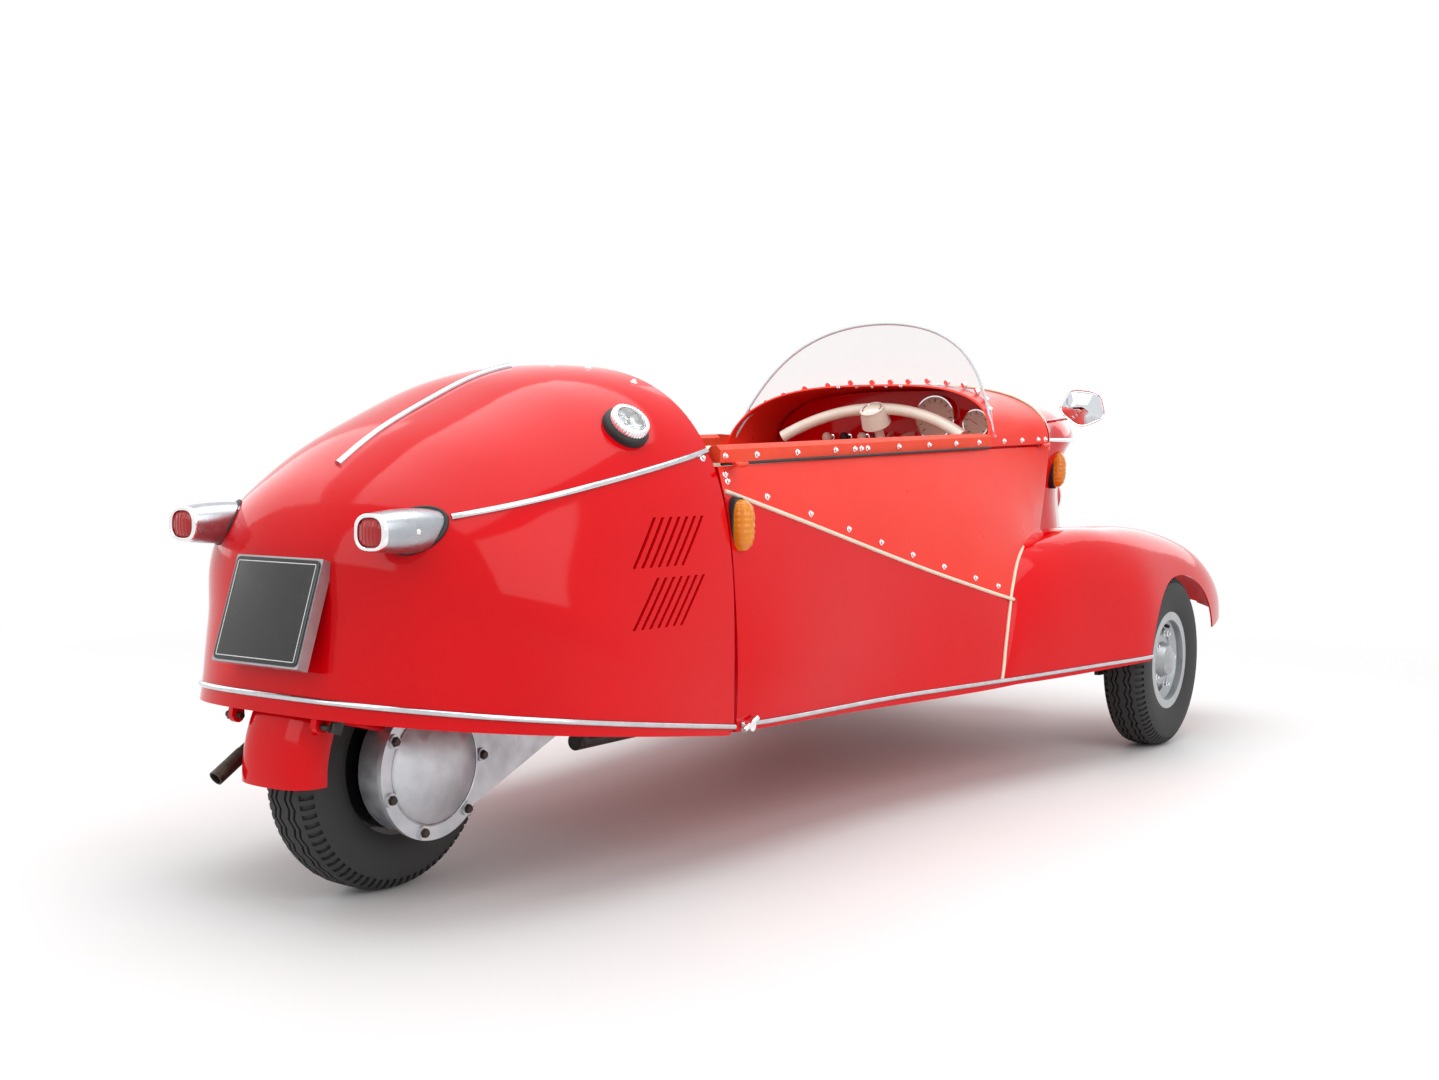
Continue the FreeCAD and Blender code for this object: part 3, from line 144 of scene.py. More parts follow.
@dataclass(frozen=True)
class Finish:
    """One surface: what it is made of, how it was made, and what that gives the eye."""

    name: str
    slot: str
    colour: str
    shade: str
    roughness: float
    metallic: float = 0.0
    ior: float = 1.5
    coat: float = 0.0
    transmission: float = 0.0
    specular: float = 0.5
    alpha: float = 1.0
    patch_mm: float = 120.0
    patch_share: float = 0.5
    relief: Relief = Relief.SMOOTH
    grain_mm: float = 1.0
    depth_mm: float = 0.0
    roughness_spread: float = 0.05

    def material(self) -> bpy.types.Material:
        """Build the finish's material once, and give the same one after that.

        Returns:
            The material.
        """
        found = bpy.data.materials.get(self.name)
        if found:
            return found
        made = bpy.data.materials.new(self.name)
        made.use_nodes = True
        tree = made.node_tree
        tree.nodes.clear()
        place = add_node(tree, "ShaderNodeTexCoord").outputs["Object"]
        patches = add_node(tree, "ShaderNodeTexNoise", {"Vector": place, "Scale": 1000 / self.patch_mm,
                                                        "Detail": 5.0, "Roughness": 0.6})
        ramp = add_node(tree, "ShaderNodeValToRGB", {"Fac": patches.outputs["Fac"]})
        ramp.color_ramp.elements[0].position = 0.5 - 0.5 * self.patch_share
        ramp.color_ramp.elements[0].color = linear(self.colour)
        ramp.color_ramp.elements[1].position = 0.5 + 0.5 * self.patch_share
        ramp.color_ramp.elements[1].color = linear(self.shade)
        smears = add_node(tree, "ShaderNodeTexNoise", {"Vector": place, "Scale": 3000 / self.patch_mm,
                                                       "Detail": 6.0})
        rough = add_node(tree, "ShaderNodeMapRange", {
            "Value": smears.outputs["Fac"], "From Min": 0.3, "From Max": 0.7,
            "To Min": max(self.roughness - self.roughness_spread, 0.0),
            "To Max": self.roughness + self.roughness_spread})
        shader = add_node(tree, "ShaderNodeBsdfPrincipled", {
            "Base Color": ramp.outputs["Color"], "Roughness": rough.outputs["Result"]})
        shader.inputs["Metallic"].default_value = self.metallic
        shader.inputs["IOR"].default_value = self.ior
        shader.inputs["Coat Weight"].default_value = self.coat
        shader.inputs["Coat Roughness"].default_value = 0.04
        shader.inputs["Transmission Weight"].default_value = self.transmission
        shader.inputs["Specular IOR Level"].default_value = self.specular
        shader.inputs["Alpha"].default_value = self.alpha
        if self.depth_mm:
            bump = add_node(tree, "ShaderNodeBump", {"Height": self.height(tree, place), "Strength": 1.0,
                                                     "Distance": self.depth_mm * MM})
            tree.links.new(bump.outputs["Normal"], shader.inputs["Normal"])
        add_node(tree, "ShaderNodeOutputMaterial", {"Surface": shader.outputs["BSDF"]})
        return made

    def height(self, tree: bpy.types.NodeTree, place: bpy.types.NodeSocket) -> bpy.types.NodeSocket:
        """Add the pattern that the surface's relief follows.

        Args:
            tree: The material's node tree.
            place: Object coordinates.

        Returns:
            The socket of the relief's height.
        """
        scale = 1000 / self.grain_mm
        if self.relief in (Relief.RIBS_Y, Relief.RIBS_Z):
            ribs = add_node(tree, "ShaderNodeTexWave", {"Vector": place, "Scale": scale / 6.2832},
                            bands_direction=self.relief.value)
            return ribs.outputs["Fac"]
        if self.relief is Relief.CAST:
            lumps = add_node(tree, "ShaderNodeTexVoronoi", {"Vector": place, "Scale": scale},
                             feature="SMOOTH_F1")
            return lumps.outputs["Distance"]
        if self.relief is Relief.BRUSHED:
            stretch = add_node(tree, "ShaderNodeMapping", {"Vector": place, "Scale": (0.04, 1.0, 1.0)})
            strokes = add_node(tree, "ShaderNodeTexNoise", {"Vector": stretch.outputs["Vector"],
                                                            "Scale": scale})
            return strokes.outputs["Fac"]
        detail = 2.0 if self.relief is Relief.SMOOTH else 6.0
        grain = add_node(tree, "ShaderNodeTexNoise", {"Vector": place, "Scale": scale, "Detail": detail})
        return grain.outputs["Fac"]


class Finishes:
    """The car's finishes, each named for the real material."""

    # Sprayed gloss enamel: deep, wet, with faint orange peel.
    RED_ENAMEL = Finish("red_gloss_enamel", "red_paint", "DC0410", "D2030E", 0.09, specular=0.2,
                        patch_mm=300, grain_mm=9.0, depth_mm=0.01, roughness_spread=0.03)
    # The upper panels get a lighter, more orange copy of the red enamel: a painted reflection of the bright
    # surround.
    RED_ENAMEL_PAINTED_REFLECTION = Finish("red_enamel_painted_reflection", "red_paint", "F03626", "E93020", 0.32, specular=0.25,
                         patch_mm=220, grain_mm=9.0, depth_mm=0.012, roughness_spread=0.05)
    # Brushed-on black chassis enamel, dull with road dust.
    CHASSIS_ENAMEL = Finish("black_chassis_enamel", "dark_paint", "15130F", "2B2621", 0.5, coat=0.1,
                            patch_mm=60, relief=Relief.GRAIN, grain_mm=4.0, depth_mm=0.15,
                            roughness_spread=0.15)
    # Stove enamel on the rear rim: black and glossy.
    RIM_ENAMEL = Finish("black_stove_enamel", "dark_paint", "0C0C0D", "151516", 0.22, coat=0.6, patch_mm=50,
                        roughness_spread=0.08)
    # Silver wheel lacquer over pressed steel.
    SILVER_LACQUER = Finish("silver_wheel_lacquer", "silver_paint", "B4B7BA", "A3A6A9", 0.34, metallic=0.75,
                            coat=0.4, patch_mm=60, relief=Relief.GRAIN, grain_mm=1.5, depth_mm=0.02,
                            roughness_spread=0.08)
    # Sand-cast aluminium, blasted and handled: soft grey with a pebbled skin.
    CAST_ALLOY = Finish("sand_cast_aluminium", "cast_alloy", "DADCE0", "B4B7BC", 0.42, metallic=0.85,
                        patch_mm=70, relief=Relief.CAST, grain_mm=2.2, depth_mm=0.14, roughness_spread=0.1)
    # Die-cast lamp pods, buffed to a satin silver that holds soft, wide highlights.
    SATIN_ALLOY = Finish("satin_die_cast_alloy", "polished_alloy", "B4B8BD", "A6AAB0", 0.3, metallic=0.95,
                         patch_mm=40, roughness_spread=0.06)
    # Polished aluminium with fine scratches.
    POLISHED_ALLOY = Finish("polished_aluminium", "polished_alloy", "D5D7DA", "BEC1C5", 0.16, metallic=1.0,
                            patch_mm=25, relief=Relief.BRUSHED, grain_mm=0.8, depth_mm=0.01,
                            roughness_spread=0.08)
    # Chrome plate, bright and slightly pitted.
    CHROME = Finish("chrome_plate", "chrome_plate", "E4E5E8", "CDD0D4", 0.07, metallic=1.0, patch_mm=18,
                    roughness_spread=0.05)
    # Mild steel pipe, heat-dulled and rusting.
    PIPE_STEEL = Finish("heat_dulled_steel", "steel", "5A5048", "2E2926", 0.48, metallic=0.8, patch_mm=18,
                        relief=Relief.GRAIN, grain_mm=2.0, depth_mm=0.12, roughness_spread=0.15)
    # Vulcanised tyre rubber.
    TYRE_RUBBER = Finish("tyre_rubber", "tyre_rubber", "131314", "1C1C1D", 0.66, specular=0.3, patch_mm=30,
                         relief=Relief.GRAIN, grain_mm=1.2, depth_mm=0.08, roughness_spread=0.1)
    # Moulded rubber gaskets and mounts.
    BLACK_RUBBER = Finish("moulded_black_rubber", "black_rubber", "111112", "1A1A1B", 0.55, patch_mm=20,
                          relief=Relief.GRAIN, grain_mm=0.9, depth_mm=0.05)
    # Extruded cream piping.
    CREAM_PIPING = Finish("cream_vinyl_piping", "cream_vinyl", "F0E6D2", "E3D6BC", 0.42, patch_mm=30,
                          grain_mm=2.0, depth_mm=0.02)
    # Red leathercloth over the padded rails.
    RED_LEATHERCLOTH = Finish("red_leathercloth", "red_vinyl", "EE4A2C", "E54326", 0.5, specular=0.3,
                              patch_mm=60, relief=Relief.GRAIN, grain_mm=1.1, depth_mm=0.04)
    # Cream leathercloth on the seats.
    CREAM_LEATHERCLOTH = Finish("cream_leathercloth", "cream_vinyl", "EADFC8", "DDD0B5", 0.52, patch_mm=50,
                                relief=Relief.GRAIN, grain_mm=1.1, depth_mm=0.1)
    # Early moulded plastic of the yoke and gauge, polished by hands.
    CREAM_PLASTIC = Finish("cream_moulded_plastic", "cream_plastic", "FBF6EA", "F3ECDA", 0.22, ior=1.53,
                           coat=0.3, patch_mm=40)
    BLACK_PLASTIC = Finish("black_moulded_plastic", "black_plastic", "0E0E0F", "161617", 0.38, patch_mm=40,
                           roughness_spread=0.06)
    # Thin acrylic sheet: nearly all of what is behind shows straight through, with a faint bluish veil.
    CLEAR_SHEET = Finish("clear_acrylic_sheet", "clear_sheet", "E9EFF2", "E2EAEE", 0.04, ior=1.49,
                         alpha=0.09, patch_mm=60, roughness_spread=0.01)
    # The sheet's sawn and polished edge gathers light and reads as a pale line.
    SHEET_EDGE = Finish("polished_acrylic_edge", "clear_sheet", "C8CED3", "B9C0C6", 0.2, ior=1.49,
                        patch_mm=30)
    # Ribbed lens mouldings.
    RED_LENS = Finish("ribbed_red_lens", "red_lens", "C80A16", "B40612", 0.1, ior=1.5, transmission=0.2,
                      patch_mm=30, relief=Relief.RIBS_Y, grain_mm=3.6, depth_mm=0.5)
    AMBER_LENS = Finish("ribbed_amber_lens", "amber_lens", "FF9E16", "F48A0C", 0.12, ior=1.5,
                        transmission=0.2, patch_mm=30, relief=Relief.RIBS_Z, grain_mm=5.0, depth_mm=0.5)
    LAMP_GLASS = Finish("fluted_lamp_glass", "lamp_glass", "F4F7F8", "E9EEF0", 0.03, ior=1.5,
                        transmission=0.9, patch_mm=20, relief=Relief.RIBS_Y, grain_mm=6.0, depth_mm=0.6)
    MIRROR_GLASS = Finish("silvered_glass", "lamp_glass", "DDE2E6", "D3D9DE", 0.02, metallic=1.0,
                          patch_mm=60, roughness_spread=0.01)
    BLACK_GLOSS = Finish("black_plate_enamel", "black_plastic", "17181B", "1C1D20", 0.24, coat=0.2,
                         patch_mm=60)
    RIBBED_MAT = Finish("ribbed_rubber_mat", "black_rubber", "1A1A1A", "222222", 0.6, patch_mm=40,
                        relief=Relief.RIBS_Y, grain_mm=9.0, depth_mm=1.5)
    WHITE_ENAMEL = Finish("white_plate_enamel", "cream_plastic", "F2F2EF", "E6E6E1", 0.3, coat=0.4,
                          patch_mm=60)
    DIAL_CREAM = Finish("printed_dial_cream", "cream_plastic", "F3EBD8", "ECE2CB", 0.5, patch_mm=10)


def deselect() -> None:
    """Leave edit mode and deselect everything."""
    if bpy.context.object and bpy.context.object.mode != "OBJECT":
        bpy.ops.object.mode_set(mode="OBJECT")
    bpy.ops.object.select_all(action="DESELECT")


def pick(piece: bpy.types.Object) -> None:
    """Make one object the only selected and the active one."""
    deselect()
    piece.select_set(True)
    bpy.context.view_layer.objects.active = piece


def rename(piece: bpy.types.Object, name: str) -> bpy.types.Object:
    """Name an object and its mesh."""
    piece.name = name
    piece.data.name = name
    return piece


def settle(piece: bpy.types.Object) -> None:
    """Put an object's place, turn and size into its mesh."""
    pick(piece)
    bpy.ops.object.transform_apply(location=True, rotation=True, scale=True)


def smooth(piece: bpy.types.Object, degrees: float = 35.0) -> None:
    """Shade a piece smooth but for its sharp edges."""
    pick(piece)
    bpy.ops.object.shade_smooth_by_angle(angle=math.radians(degrees))


def facing(foot: Vector, out: Vector) -> Matrix:
    """A placing that turns +Z to a direction and moves to a foot."""
    return Matrix.Translation(foot) @ out.to_track_quat("Z", "Y").to_matrix().to_4x4()


def turned(name: str, rings: Sequence[tuple[float, float]], place: Matrix, sides: int = 32,
           capped: bool = True) -> bpy.types.Object:
    """Model a turned piece by extruding and resizing a circle.

    Args:
        name: The piece's name.
        rings: Radius and height of each ring in metres, from the foot up. A last radius of 0 is a point.
        place: Where the piece's foot and axis go.
        sides: Corners of each ring.
        capped: Whether the open ends are filled.

    Returns:
        The piece.
    """
    deselect()
    radius, height = rings[0]
    bpy.ops.mesh.primitive_circle_add(vertices=sides, radius=radius, location=(0, 0, height),
                                      fill_type="NOTHING")
    piece = rename(bpy.context.object, name)
    bpy.ops.object.transform_apply(location=True)
    bpy.ops.object.mode_set(mode="EDIT")
    bpy.ops.mesh.select_all(action="SELECT")
    for next_radius, next_height in rings[1:]:
        bpy.ops.mesh.extrude_region_move(TRANSFORM_OT_translate={"value": (0, 0, next_height - height)})
        if next_radius == 0:
            bpy.ops.mesh.merge(type="CENTER")
        elif abs(next_radius - radius) > 1e-9:
            share = next_radius / radius
            bpy.ops.transform.resize(value=(share, share, 1))
        radius, height = next_radius, next_height
    if capped:
        bpy.ops.mesh.select_all(action="DESELECT")
        bpy.ops.mesh.select_non_manifold(extend=False, use_wire=True, use_boundary=True, use_multi_face=False,
                                         use_non_contiguous=False, use_verts=False)
        bpy.ops.mesh.fill_holes(sides=0)
    bpy.ops.mesh.select_all(action="SELECT")
    bpy.ops.mesh.normals_make_consistent(inside=False)
    bpy.ops.object.mode_set(mode="OBJECT")
    piece.data.transform(place)
    smooth(piece)
    return piece


def bead(name: str, points: Sequence[Vector], radius: float) -> bpy.types.Object:
    """Model a round strip along a smooth line.

    Args:
        name: The piece's name.
        points: The line's control points.
        radius: The strip's radius in metres.

    Returns:
        The strip as a mesh.
    """
    deselect()
    bpy.ops.curve.primitive_nurbs_path_add()
    piece = rename(bpy.context.object, name)
    piece.data.splines.clear()
    spline = piece.data.splines.new("NURBS")
    spline.points.add(len(points) - 1)
    for control, point in zip(spline.points, points):
        control.co = (*point, 1.0)
    spline.order_u = min(3, len(points))
    spline.use_endpoint_u = True
    spline.resolution_u = 4
    piece.data.bevel_depth = radius
    piece.data.bevel_resolution = 2
    piece.data.use_fill_caps = True
    piece.location = (0, 0, 0)
    bpy.ops.object.convert(target="MESH")
    settle(piece)
    smooth(piece, 50)
    return piece


def copies(template: bpy.types.Object, name: str, places: Iterable[Matrix]) -> bpy.types.Object:
    """Copy a piece to several places, as one object, and delete the template.

    Args:
        template: A piece modelled at the origin along +Z.
        name: The joined piece's name.
        places: Where each copy goes.

    Returns:
        The joined piece.
    """
    made = []
    for place in places:
        twin = template.copy()
        twin.data = template.data.copy()
        twin.data.transform(place)
        bpy.context.scene.collection.objects.link(twin)
        made.append(twin)
    deselect()
    for twin in made:
        twin.select_set(True)
    bpy.context.view_layer.objects.active = made[0]
    if len(made) > 1:
        bpy.ops.object.join()
    bpy.data.objects.remove(template)
    return rename(made[0], name)


def squared(piece: bpy.types.Object, power: float) -> None:
    """Push a turned piece's rings out towards a rounded square.

    Args:
        piece: The turned piece, still upright at the origin.
        power: 2 leaves a circle, and more comes nearer to a square.
    """
    for vertex in piece.data.vertices:
        x, y, z = vertex.co
        radius = math.hypot(x, y)
        if radius > 0:
            share = (abs(x / radius) ** power + abs(y / radius) ** power) ** (-1 / power)
            vertex.co = (x * share, y * share, z)


def five_sided(piece: bpy.types.Object) -> None:
    """Push a turned piece's rings towards a rounded pentagon with one side on top.

    Args:
        piece: The turned piece, still upright at the origin.
    """
    for vertex in piece.data.vertices:
        x, y, z = vertex.co
        share = 1 + 0.045 * math.cos(5 * math.atan2(y, x) + math.pi / 2)
        vertex.co = (x * share, y * share, z)


def fluted(piece: bpy.types.Object, count: int, depth: float, above: float) -> None:
    """Wave the rings of a turned piece that are wider than a radius.

    Args:
        piece: The turned piece.
        count: Flutes round it.
        depth: Half of a flute's depth in metres.
        above: Only rings wider than this are waved.
    """
    for vertex in piece.data.vertices:
        x, y, z = vertex.co
        radius = math.hypot(x, y)
        if radius > above:
            share = 1 + depth / radius * math.cos(count * math.atan2(y, x))
            vertex.co = (x * share, y * share, z)


def joined(name: str, parts: Sequence[bpy.types.Object]) -> bpy.types.Object:
    """Join pieces to one object.

    Args:
        name: The joined object's name.
        parts: What is joined.

    Returns:
        The joined object.
    """
    deselect()
    for part in parts:
        part.select_set(True)
    bpy.context.view_layer.objects.active = parts[0]
    if len(parts) > 1:
        bpy.ops.object.join()
    return rename(parts[0], name)


def fit(piece: bpy.types.Object, body: str, finish: Finish, *nodes: str) -> bpy.types.Object:
    """Give a piece its finish and body, and hide the solids it stands for.

    Args:
        piece: The finished piece.
        body: The body it rides on.
        finish: Its finish.
        nodes: The solids that it replaces.

    Returns:
        The piece.
    """
    piece.data.materials.clear()
    piece.data.materials.append(finish.material())
    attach(piece, body)
    if nodes:
        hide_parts(*nodes)
    LOG.info("%s: %d faces on %s", piece.name, len(piece.data.polygons), body)
    return piece


class Skin:
    """The outside of some solids, to set pieces against."""

    def __init__(self, frame: dict, *nodes: str) -> None:
        """Read the solids' faces.

        Args:
            nodes: The solids' names.
        """
        graph = bpy.context.evaluated_depsgraph_get()
        self.trees = [BVHTree.FromObject(frame["nodes"][node], graph) for node in nodes]

    def hit(self, start: Vector, way: Vector) -> Optional[tuple[Vector, Vector]]:
        """First place that a ray meets.

        Args:
            start: Where the ray starts, in metres.
            way: Its direction.

        Returns:
            The place and the normal that faces the ray's start, or None for a miss.
        """
        found = [hit for hit in (tree.ray_cast(start, way.normalized()) for tree in self.trees) if hit[0]]
        if not found:
            return None
        place, normal, _, _ = min(found, key=lambda hit: hit[3])
        return place, (normal if normal.dot(way) < 0 else -normal)

    def side(self, ahead: float, up: float, sign: int = -1) -> Optional[tuple[Vector, Vector]]:
        """Place on the right (-1) or left (1) side, seen from that side."""
        return self.hit(spot(ahead, sign * 900, up), Vector((0, -sign, 0)))

    def top(self, ahead: float, left: float) -> Optional[tuple[Vector, Vector]]:
        """Place seen from above."""
        return self.hit(spot(ahead, left, 1300), Vector((0, 0, -1)))

    def round(self, ahead: float, turn: float, centre_up: float = 560.0) -> Optional[tuple[Vector, Vector]]:
        """Place seen from outside towards the car's long middle line.

        Args:
            ahead: Millimetres ahead of the rear axle.
            turn: Degrees from level on the right over the top.
            centre_up: Height of the middle line in millimetres.

        Returns:
            The place and its normal, or None for a miss.
        """
        angle = math.radians(turn)
        out = Vector((0, -math.cos(angle), math.sin(angle)))
        return self.hit(spot(ahead, 0, centre_up) + out * 1.2, -out)

    def under(self, ahead: float, turn: float, centre_up: float = 690.0) -> Optional[tuple[Vector, Vector]]:
        """Place on the inside, seen from the car's long middle line.

        Args:
            ahead: Millimetres ahead of the rear axle.
            turn: Degrees from level on the right over the top.
            centre_up: Height of the middle line in millimetres.

        Returns:
            The place and its normal, or None for a miss.
        """
        angle = math.radians(turn)
        out = Vector((0, -math.cos(angle), math.sin(angle)))
        return self.hit(spot(ahead, 0, centre_up), out)


def proud(hits: Iterable[Optional[tuple[Vector, Vector]]], lift: float) -> list[Vector]:
    """Places lifted off their skin by a length in metres; misses are left out."""
    return [place + normal * lift for place, normal in (h for h in hits if h)]


def span(low: float, high: float, count: int) -> list[float]:
    """Evenly spaced values from low to high."""
    return [low + (high - low) * i / (count - 1) for i in range(count)]


def along_line(points: Sequence[tuple[float, float]], value: float) -> float:
    """Straight interpolation in a table.

    Args:
        points: Pairs of value and result, in rising order.
        value: Where the result is wanted.

    Returns:
        The result, held level past either end.
    """
    for (a, low), (b, high) in zip(points, points[1:]):
        if a <= value <= b:
            return low + (high - low) * (value - a) / (b - a)
    return points[0][1] if value < points[0][0] else points[-1][1]


@dataclass
class Paintwork:
    """Finishes of the solids that keep their own form."""

    frame: dict

    def build(self) -> None:
        """Put each finish in the solids' material slots."""
        groups = {
            Finishes.RED_ENAMEL: ("tub_shell", "nose_shell", "fender_right", "fender_left", "dash_panel",
                                  "rear_mudguard", "cowl_shell", "headlamp_shells"),
            # The upper panels take the red enamel with its painted reflection, lighter and more orange.
            Finishes.RED_ENAMEL_PAINTED_REFLECTION: ("side_panel_right", "side_panel_left", "scuttle_panel"),
            Finishes.CHASSIS_ENAMEL: ("chassis_frame", "front_axle", "knuckle_right", "knuckle_left"),
            Finishes.CAST_ALLOY: ("engine_block", "drive_case", "drive_case_cover"),
            Finishes.PIPE_STEEL: ("exhaust", "track_rod_right", "track_rod_left"),
            Finishes.RED_LEATHERCLOTH: ("rail_right", "rail_left"),
            Finishes.CLEAR_SHEET: ("windscreen",),
            Finishes.SATIN_ALLOY: ("tail_lamp_pods",),
            Finishes.RED_LENS: ("tail_lamp_lenses",),
            Finishes.LAMP_GLASS: ("headlamp_lenses",),
            Finishes.AMBER_LENS: ("flasher_lenses",),
            Finishes.SILVER_LACQUER: ("number_plate", "front_rim_right", "front_rim_left"),
            Finishes.CHROME: ("fuel_cap", "mirror", "cowl_clamps"),
            Finishes.CREAM_PLASTIC: ("steering_bar", "instruments"),
            Finishes.BLACK_RUBBER: ("pedals",),
            Finishes.RIM_ENAMEL: ("rear_rim",),
            Finishes.TYRE_RUBBER: ("front_tyre_right", "front_tyre_left", "rear_tyre"),
            Finishes.CREAM_LEATHERCLOTH: ("front_seat_cushion", "front_seat_back", "rear_seat_cushion",
                                          "rear_seat_back"),
        }
        for finish, nodes in groups.items():
            for node in nodes:
                mesh = self.frame["nodes"][node].data
                if not mesh.materials:
                    mesh.materials.append(finish.material())
                for index in range(len(mesh.materials)):
                    mesh.materials[index] = finish.material()
        LOG.info("painted %d groups of solids", len(groups))


@dataclass
class Tyre:
    """A road tyre with zigzag centre ribs and notched shoulders."""

    node: str
    body: str
    centre: Vector
    steps: int = 160
    groove: float = 0.0062
    wave: float = 0.0032
    pitch: int = 4
    grooves: tuple = ((0.0070, 0.0124), (0.0180, 0.0236))
    profile: tuple = ((0.1172, 0.0437), (0.126, 0.0475), (0.140, 0.0510), (0.162, 0.0525), (0.176, 0.0518),
                      (0.187, 0.0492), (0.1965, 0.0440), (0.2015, 0.0385), (0.2035, 0.0335), (0.2047, 0.0300),
                      (0.2060, 0.0232), (0.2063, 0.0185), (0.2068, 0.0122), (0.2069, 0.0072), (0.2070, 0.0))

    def build(self) -> bpy.types.Object:
        """Spin the tyre's section, cut its tread, and put it on its wheel.

        Returns:
            The tyre.
        """
        half = list(self.profile)
        section = half + [(r, -y) for r, y in half[-2::-1]]
        deselect()
        bpy.ops.mesh.primitive_plane_add(size=0.01)
        piece = rename(bpy.context.object, self.body + "_tyre")
        bpy.ops.object.mode_set(mode="EDIT")
        bpy.ops.mesh.select_all(action="SELECT")
        bpy.ops.mesh.merge(type="CENTER")
        bpy.ops.transform.translate(value=(0, section[0][1], section[0][0]))
        for (r0, y0), (r1, y1) in zip(section, section[1:]):
            bpy.ops.mesh.extrude_region_move(TRANSFORM_OT_translate={"value": (0, y1 - y0, r1 - r0)})
        bpy.ops.mesh.select_all(action="SELECT")
        bpy.ops.mesh.spin(steps=self.steps, angle=2 * math.pi, center=(0, 0, 0), axis=(0, 1, 0))
        bpy.ops.mesh.select_all(action="SELECT")
        bpy.ops.mesh.remove_doubles(threshold=0.0001)
        bpy.ops.mesh.normals_make_consistent(inside=False)
        bpy.ops.object.mode_set(mode="OBJECT")
        self.zigzag(piece)
        self.cut(piece, self.is_centre_groove, self.groove)
        self.cut(piece, self.is_shoulder_notch, self.groove * 0.8)
        piece.data.transform(Matrix.Translation(self.centre))
        smooth(piece, 32)
        return fit(piece, self.body, Finishes.TYRE_RUBBER, self.node)

    def step_of(self, x: float, z: float) -> float:
        """Which spin step a place on the tyre lies in."""
        return (math.atan2(x, z) / (2 * math.pi) % 1.0) * self.steps

    def zigzag(self, piece: bpy.types.Object) -> None:
        """Push the tread's points to and fro across the tyre.

        Args:
            piece: The tyre, with its axle through the origin.
        """
        for vertex in piece.data.vertices:
            x, y, z = vertex.co
            if math.hypot(x, z) > 0.2055:
                phase = self.step_of(x, z) / self.pitch % 1.0
                vertex.co.y = y + self.wave * (4 * abs(phase - 0.5) - 1)

    def is_centre_groove(self, centre: Vector) -> bool:
        """Whether a face lies in one of the zigzag grooves."""
        return (math.hypot(centre.x, centre.z) > 0.2
                and any(low < abs(centre.y) < high for low, high in self.grooves))

    def is_shoulder_notch(self, centre: Vector) -> bool:
        """Whether a face lies in a notch across the shoulder."""
        radius = math.hypot(centre.x, centre.z)
        return 0.186 < radius < 0.2028 and int(self.step_of(centre.x, centre.z)) % 2 == 0

    def cut(self, piece: bpy.types.Object, chosen: Callable[[Vector], bool], depth: float) -> None:
        """Sink the chosen faces towards the axle.

        Args:
            piece: The tyre.
            chosen: Picks faces by their centre.
            depth: How far they sink, in metres.
        """
        pick(piece)
        bpy.ops.object.mode_set(mode="EDIT")
        bpy.ops.mesh.select_mode(type="FACE")
        bpy.ops.mesh.select_all(action="DESELECT")
        bpy.ops.object.mode_set(mode="OBJECT")
        for face in piece.data.polygons:
            face.select = chosen(face.center)
        bpy.ops.object.mode_set(mode="EDIT")
        bpy.ops.mesh.extrude_region_shrink_fatten(TRANSFORM_OT_shrink_fatten={"value": -depth})
        bpy.ops.mesh.select_mode(type="VERT")
        bpy.ops.object.mode_set(mode="OBJECT")


@dataclass
class Wheels:
    """The three tyres, and the nuts and valves of the rims."""

    wheelbase: float = 2027
    half_track: float = 540
    radius: float = 207

    def build(self) -> None:
        """Build each wheel's pieces."""
        front, side = self.wheelbase, self.half_track
        for node, body, ahead, left in (("front_tyre_right", "wheel_fr", front, -side),
                                        ("front_tyre_left", "wheel_fl", front, side),
                                        ("rear_tyre", "wheel_rear", 0, 0)):
            outward = -1 if left < 0 else 1
            centre = spot(ahead, left, self.radius)
            Tyre(node, body, centre).build()
            self.nuts(body, centre, outward)
            self.valve(body, centre, outward)

    def nuts(self, body: str, centre: Vector, outward: int) -> None:
        """Five nuts on the disc round the hub.

        Args:
            body: The wheel's body.
            centre: The wheel's middle in metres.
            outward: 1 where the outside is left, -1 where it is right.
        """
        nut = turned("nut", [(0.0095, 0), (0.0095, 0.002), (0.0075, 0.0025), (0.0075, 0.009), (0.006, 0.010),
                             (0.0045, 0.0102), (0.0045, 0.014), (0.0, 0.0145)], AT_ORIGIN, 6)
        places = []
        for i in range(5):
            turn = 2 * math.pi * i / 5
            foot = centre + Vector((math.cos(turn) * 0.064, outward * 0.0235, math.sin(turn) * 0.064))
            places.append(facing(foot, Vector((0, outward, 0))))
        fit(copies(nut, body + "_nuts", places), body, Finishes.CHROME)

    def valve(self, body: str, centre: Vector, outward: int) -> None:
        """A rubber valve stem with its cap.

        Args:
            body: The wheel's body.
            centre: The wheel's middle in metres.
            outward: 1 where the outside is left, -1 where it is right.
        """
        outline = [(0.006, -0.006), (0.005, 0.004), (0.0035, 0.008), (0.0035, 0.020), (0.0045, 0.021),
                   (0.0045, 0.030), (0.003, 0.032), (0.0, 0.0325)]
        place = facing(centre + Vector((0, outward * 0.012, 0.088)), Vector((0, outward * 1.0, -0.25)))
        stem = turned(body + "_valve", outline, place, 12)
        fit(stem, body, Finishes.BLACK_RUBBER)


